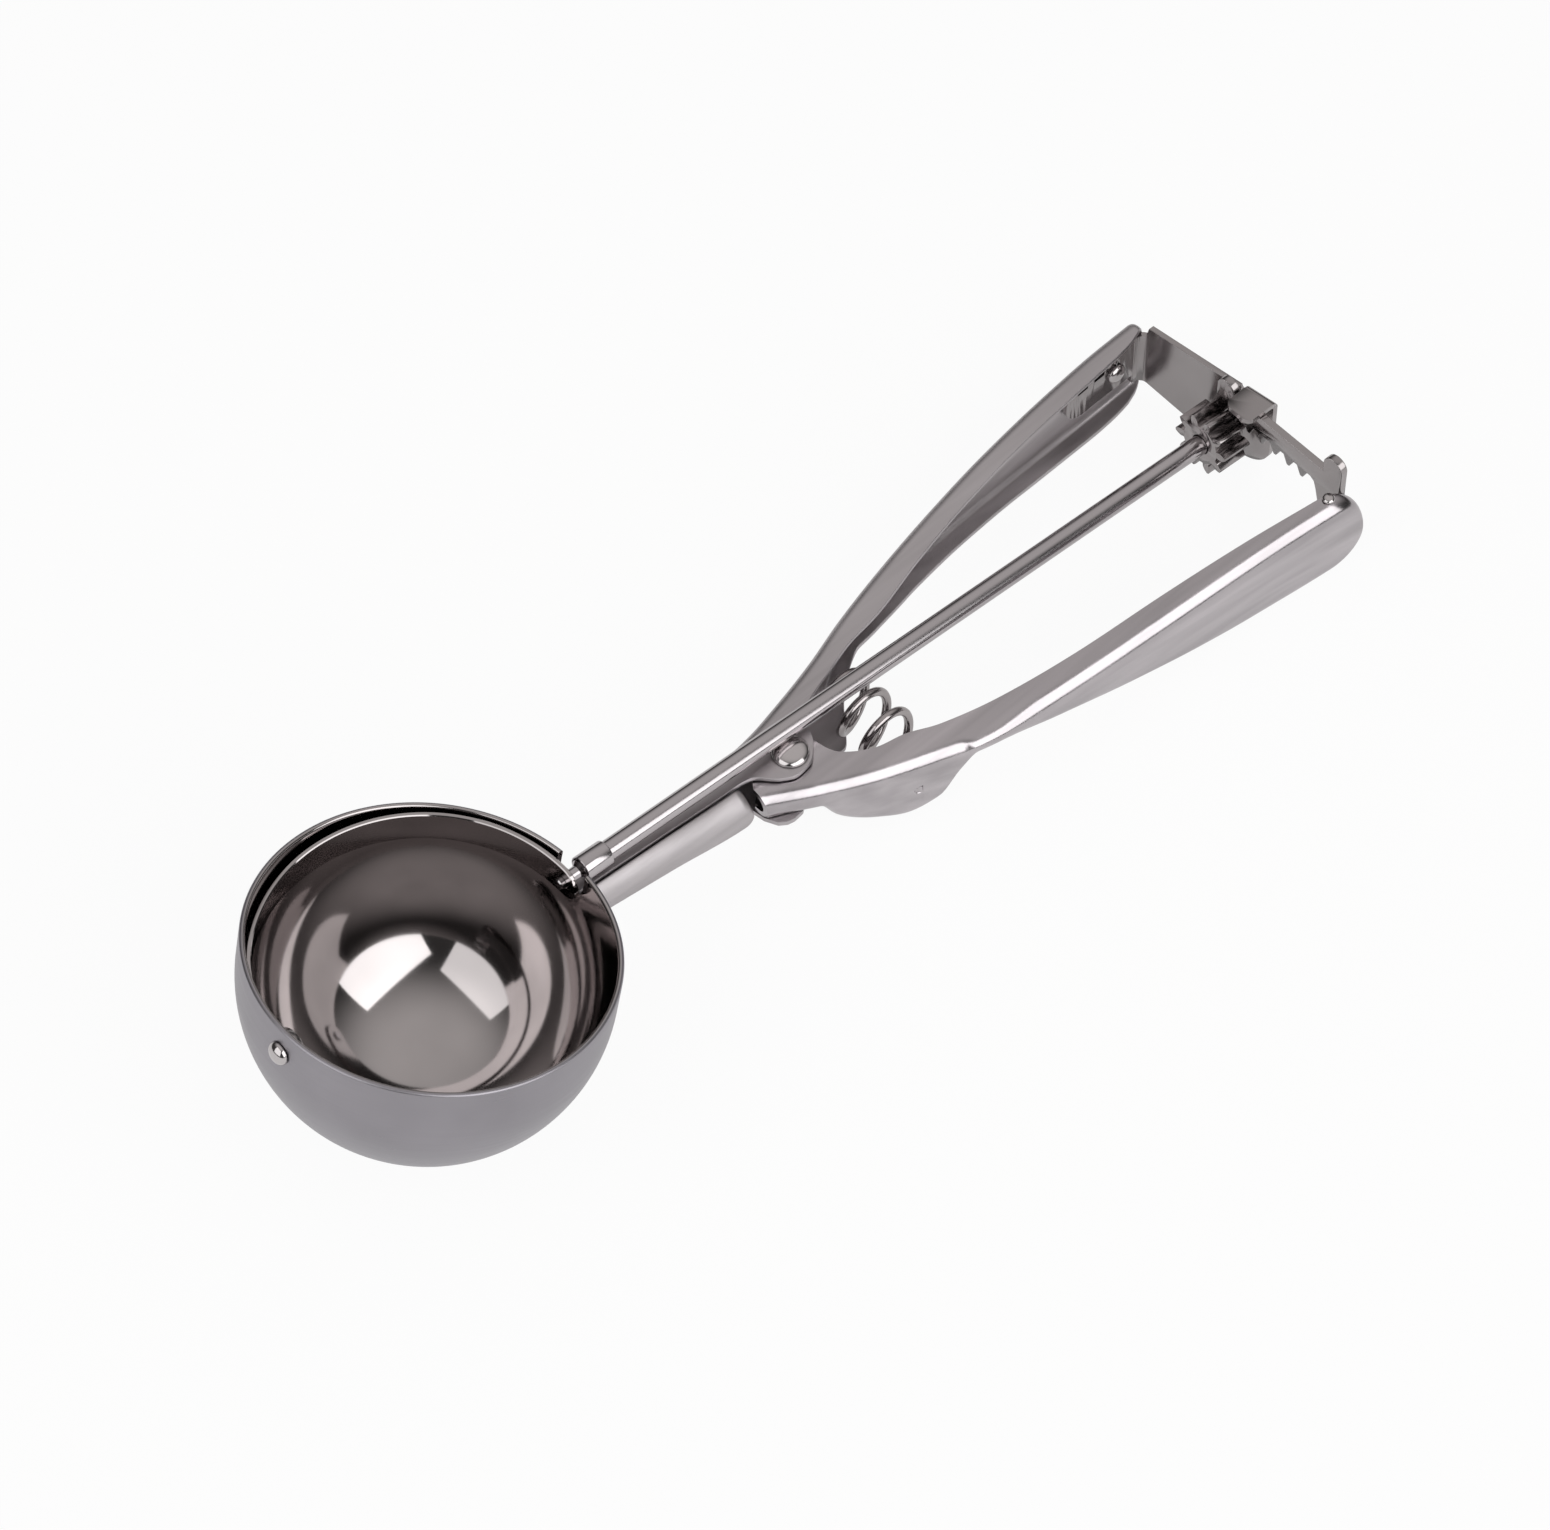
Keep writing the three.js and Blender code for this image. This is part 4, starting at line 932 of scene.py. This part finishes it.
def make_bracket():
    tab_y = fixed_inside(FIXED_END_X) - RUN
    bend_y = tab_y - TAB_BEND_R
    bend_x = band_back(bend_y) - TAB_BEND_R / math.cos(BAND_SLANT)
    bend = arc(bend_x, bend_y, TAB_BEND_R, math.pi / 2, BAND_SLANT, 16)
    tab_line = [(x, min(tab_y, fixed_inside(x) - RUN)) for x in steps(TAB_X, bend_x, 16)]
    band_line = [*bend, *[(band_back(y), y) for y in reversed(HOOK_Y)]]
    piece = solid("bracket", strip(band_line, BAND_LOW, HOOK_Z + SHEET))
    common(piece, band_face(tab_y, bend_y))
    join(piece, strip([*tab_line, *bend[1:6]], *TAB_Z), hook_shape())
    rod_hole = rod_along("x", ROD_R + RUN, BAND_BACK_X - 4, BAND_BACK_X + 5, sides=ROUND_SIDES)
    cut(
        piece,
        tab_end_waste(tab_y),
        hook_front_waste(),
        *[tab_slot(x, bend_y, tab_y) for x in TAB_SLOTS_X],
        moved(rod_hole, Matrix.Rotation(ROD_DROP, 4, "Y")),
        bracket_hole(),
    )
    break_edges(piece, FINE_EDGE_R)
    dress(piece, "gear_bracket", HANDLES, BRUSHED)


def make_bracket_rivet():
    made = BRACKET_RIVET
    outside = fixed_web(made["x"]) + SEAT + made["play"]
    inside = fixed_inside(made["x"]) - RUN - SHEET - SEAT - made["play"]
    shape = rivet(made["r"], made["head_r"], made["head_h"], -inside, -outside, made["low_r"])
    place = Matrix.Translation((made["x"], 0, made["z"])) @ Matrix.Rotation(math.pi / 2, 4, "X")
    dress(solid("bracket_head", moved(shape, place)), "bracket_rivet", HANDLES, POLISHED)


# Return spring


def spring_line():
    """The wire's centre line: a straight end, an easy bend into the coils, and the same at the other end."""

    def coil(turn):
        a = math.pi - 2 * math.pi * turn
        x, z = SPRING_R * math.cos(a), SPRING_R * math.sin(a)
        y = SPRING_Y[0] + (SPRING_Y[1] - SPRING_Y[0]) * turn / COILS + SPRING_LEAN * x
        return Vector((SPRING_X + x, y, SPRING_Z + z))

    x, z = SPRING_X - SPRING_R, SPRING_Z
    webs = (fixed_inside(x) - RUN, lever_web(x) + SHEET * LEVER_SLANT + RUN)

    def lead(corner, web_y, turn):
        start = corner + Vector((0, math.copysign(SPRING_BEND, web_y - corner.y), 0))
        curve = [start.lerp(corner, t).lerp(corner.lerp(coil(turn), t), t) for t in steps(0, 1, 10)]
        return [Vector((x, web_y, z)), *curve]

    first = lead(coil(0), webs[0], SPRING_EASE)
    last = lead(coil(COILS), webs[1], COILS - SPRING_EASE)
    coils = [coil(t) for t in steps(SPRING_EASE, COILS - SPRING_EASE, COILS * COIL_STEPS)]
    return [*first, *coils[1:-1], *reversed(last)]


def make_spring():
    line = spring_line()
    across = Vector((1, 0, 0))
    rings = []
    for i, p in enumerate(line):
        along = (line[min(i + 1, len(line) - 1)] - line[max(i - 1, 0)]).normalized()
        across = (across - along * across.dot(along)).normalized()
        third = along.cross(across)
        turn = [2 * math.pi * k / WIRE_SIDES for k in range(WIRE_SIDES)]
        rings.append([tuple(p + (across * math.cos(a) + third * math.sin(a)) * WIRE_R) for a in turn])
    piece = dress(solid("spring_wire", loft(rings)), "return_spring", HANDLES, WIRE, 50)
    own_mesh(piece)


# Materials: steel with fine drawn or spun lines, faint smudges and uneven polish

NOISE = (0.3, 0.7)  # where most of a noise texture's values lie
POLISH = (0.8, 1.25)  # of a steel's roughness, at its smoothest and at its dullest


def ranged(tree, value, before, after=(0, 1), kind="LINEAR"):
    """Maps a value of a node tree from one range to another."""
    node = tree.nodes.new("ShaderNodeMapRange")
    node.interpolation_type = kind
    node.inputs["From Min"].default_value, node.inputs["From Max"].default_value = before
    node.inputs["To Min"].default_value, node.inputs["To Max"].default_value = after
    tree.links.new(value, node.inputs["Value"])
    return node.outputs["Result"]


def steel(name, colour, roughness, lines, depth, smudges=(70, 70, 70), contrast=0.07):
    """Scratch lines of some depth in metres, and smudges that shift tint and polish.

    lines and smudges are densities along the piece's own x, y and z, per metre.
    """
    material = bpy.data.materials.new(name)
    material.use_nodes = True
    tree = material.node_tree
    shader = tree.nodes["Principled BSDF"]
    shader.inputs["Metallic"].default_value = 1.0
    coords = tree.nodes.new("ShaderNodeTexCoord")

    def noise(density, detail):
        stretch = tree.nodes.new("ShaderNodeMapping")
        stretch.inputs["Scale"].default_value = density
        tree.links.new(coords.outputs["Object"], stretch.inputs["Vector"])
        texture = tree.nodes.new("ShaderNodeTexNoise")
        texture.inputs["Scale"].default_value = 1.0
        texture.inputs["Detail"].default_value = detail
        tree.links.new(stretch.outputs["Vector"], texture.inputs["Vector"])
        return texture.outputs["Fac"]

    grain = noise(lines, 3.0)
    smudge = noise(smudges, 2.0)

    both = tree.nodes.new("ShaderNodeMath")
    both.operation = "ADD"
    tree.links.new(grain, both.inputs[0])
    tree.links.new(smudge, both.inputs[1])
    sums = [2 * v for v in NOISE]
    polish = ranged(tree, both.outputs["Value"], sums, [roughness * v for v in POLISH])
    tree.links.new(polish, shader.inputs["Roughness"])

    tint = tree.nodes.new("ShaderNodeMix")
    tint.data_type = "RGBA"
    tint.inputs["A"].default_value = (*[c * (1 - contrast) for c in colour], 1)
    tint.inputs["B"].default_value = (*[c * (1 + contrast) for c in colour], 1)
    tree.links.new(ranged(tree, smudge, NOISE), tint.inputs["Factor"])
    tree.links.new(tint.outputs["Result"], shader.inputs["Base Color"])

    relief = tree.nodes.new("ShaderNodeBump")
    relief.inputs["Distance"].default_value = depth
    relief.inputs["Strength"].default_value = 1.0
    tree.links.new(grain, relief.inputs["Height"])
    tree.links.new(relief.outputs["Normal"], shader.inputs["Normal"])
    return material


STREAKS = (9, 300, 300)
HANDLE_STEEL = steel("handle_steel", (0.50, 0.47, 0.485), 0.20, (60, 2600, 2600), 0.000004, STREAKS, 0.14)
# Fixed handle's steel: its rougher satin finish is real, but its base colour, lighter than the lever's, is
# painted light that brightens the handle's shaded inside
DULL_STEEL_PAINTED_LIFT = steel("dull_steel_painted_lift", (0.54, 0.51, 0.52), 0.42, (60, 2600, 2600), 0.000004, STREAKS, 0.14)
BRUSHED = steel("brushed_steel", (0.38, 0.355, 0.355), 0.20, (400, 400, 400), 0.000001)
POLISHED = steel("polished_steel", (0.56, 0.53, 0.53), 0.13, (500, 500, 500), 0.000002)
ROD_STEEL = steel("rod_steel", (0.50, 0.47, 0.48), 0.13, (80, 1800, 1800), 0.000002, STREAKS)
SPUN_SATIN = steel("spun_satin", (0.34, 0.325, 0.35), 0.34, (40, 40, 2600), 0.000004)
MIRROR = steel("bowl_mirror", (0.45, 0.42, 0.418), 0.07, (30, 30, 900), 0.0000008)
WIRE = steel("spring_wire", (0.42, 0.39, 0.39), 0.16, (700, 700, 700), 0.000002)


# Camera, light and floor


def add_camera():
    data = bpy.data.cameras.new("camera")
    data.sensor_width = SENSOR_MM
    data.lens = FOCAL_PX * SENSOR_MM / max(PHOTO)
    data.clip_start = CAMERA_NEAR
    camera = bpy.data.objects.new("camera", data)
    back = -CAMERA_FORWARD.normalized()
    right = (CAMERA_RIGHT - back * CAMERA_RIGHT.dot(back)).normalized()
    up = back.cross(right)
    turn = Matrix((right, up, back)).transposed().to_4x4()
    camera.matrix_world = Matrix.Translation(CAMERA_AT) @ turn
    bpy.context.scene.collection.objects.link(camera)
    bpy.context.scene.camera = camera


def add_world():
    """A dim room, light overhead towards the rear; the camera itself sees plain white."""
    world = bpy.data.worlds.new("studio")
    bpy.context.scene.world = world
    world.use_nodes = True
    tree = world.node_tree
    background = tree.nodes["Background"]
    coords = tree.nodes.new("ShaderNodeTexCoord")
    towards = tree.nodes.new("ShaderNodeVectorMath")
    towards.operation = "DOT_PRODUCT"
    tree.links.new(coords.outputs["Generated"], towards.inputs[0])
    towards.inputs[1].default_value = SKY_LIGHTEST
    sky = ranged(tree, towards.outputs["Value"], SKY_FALLOFF, SKY_LEVELS, "SMOOTHSTEP")
    path = tree.nodes.new("ShaderNodeLightPath")
    level = tree.nodes.new("ShaderNodeMix")
    tree.links.new(path.outputs["Is Camera Ray"], level.inputs["Factor"])
    tree.links.new(sky, level.inputs["A"])
    level.inputs["B"].default_value = 1.0
    tree.links.new(level.outputs["Result"], background.inputs["Strength"])
    background.inputs["Color"].default_value = ROOM_TINT


def add_softbox(name, place, size, power):
    data = bpy.data.lights.new(name, "AREA")
    data.shape = "RECTANGLE"
    data.size, data.size_y = size
    data.energy = power
    lamp = bpy.data.objects.new(name, data)
    lamp.location = place
    lamp.rotation_euler = (Vector(LIT_POINT) - Vector(place)).to_track_quat("-Z", "Y").to_euler()
    bpy.context.scene.collection.objects.link(lamp)


def add_floor():
    mesh = bpy.data.meshes.new("floor")
    r = FLOOR_HALF
    mesh.from_pydata([(-r, -r, 0), (r, -r, 0), (r, r, 0), (-r, r, 0)], [], [(0, 1, 2, 3)])
    floor = bpy.data.objects.new("floor", mesh)
    bpy.context.scene.collection.objects.link(floor)
    material = bpy.data.materials.new("floor")
    material.use_nodes = True
    tree = material.node_tree
    shader = tree.nodes["Principled BSDF"]
    shader.inputs["Base Color"].default_value = FLOOR_COLOUR
    shader.inputs["Roughness"].default_value = FLOOR_ROUGHNESS
    path = tree.nodes.new("ShaderNodeLightPath")
    coords = tree.nodes.new("ShaderNodeTexCoord")
    distance = tree.nodes.new("ShaderNodeVectorMath")
    distance.operation = "LENGTH"
    tree.links.new(coords.outputs["Object"], distance.inputs[0])
    fade = ranged(tree, distance.outputs["Value"], FLOOR_FADE, FLOOR_MIRRORED, "SMOOTHSTEP")
    mirrored = tree.nodes.new("ShaderNodeMath")
    mirrored.operation = "MULTIPLY"
    tree.links.new(path.outputs["Is Glossy Ray"], mirrored.inputs[0])
    tree.links.new(fade, mirrored.inputs[1])
    weight = tree.nodes.new("ShaderNodeMath")
    weight.operation = "MULTIPLY_ADD"
    weight.inputs[1].default_value = FLOOR_SEEN
    tree.links.new(path.outputs["Is Camera Ray"], weight.inputs[0])
    tree.links.new(mirrored.outputs["Value"], weight.inputs[2])
    white = tree.nodes.new("ShaderNodeEmission")
    mix = tree.nodes.new("ShaderNodeMixShader")
    tree.links.new(weight.outputs["Value"], mix.inputs["Fac"])
    tree.links.new(shader.outputs["BSDF"], mix.inputs[1])
    tree.links.new(white.outputs["Emission"], mix.inputs[2])
    tree.links.new(mix.outputs["Shader"], tree.nodes["Material Output"].inputs["Surface"])
    mesh.materials.append(material)


make_bowl()
make_hanger()
make_front_rivet()
make_pivot_pin()
make_blade()
make_rod()
make_ferrule()
make_end_head()
make_pinion()
make_lever()
make_fixed_handle()
make_pivot_rivet()
make_rack()
make_rack_rivet()
make_bracket()
make_bracket_rivet()
make_spring()

add_camera()
add_world()
for name, box in SOFTBOXES.items():
    add_softbox(name, **box)
add_floor()
bpy.context.scene.view_settings.view_transform = "Standard"
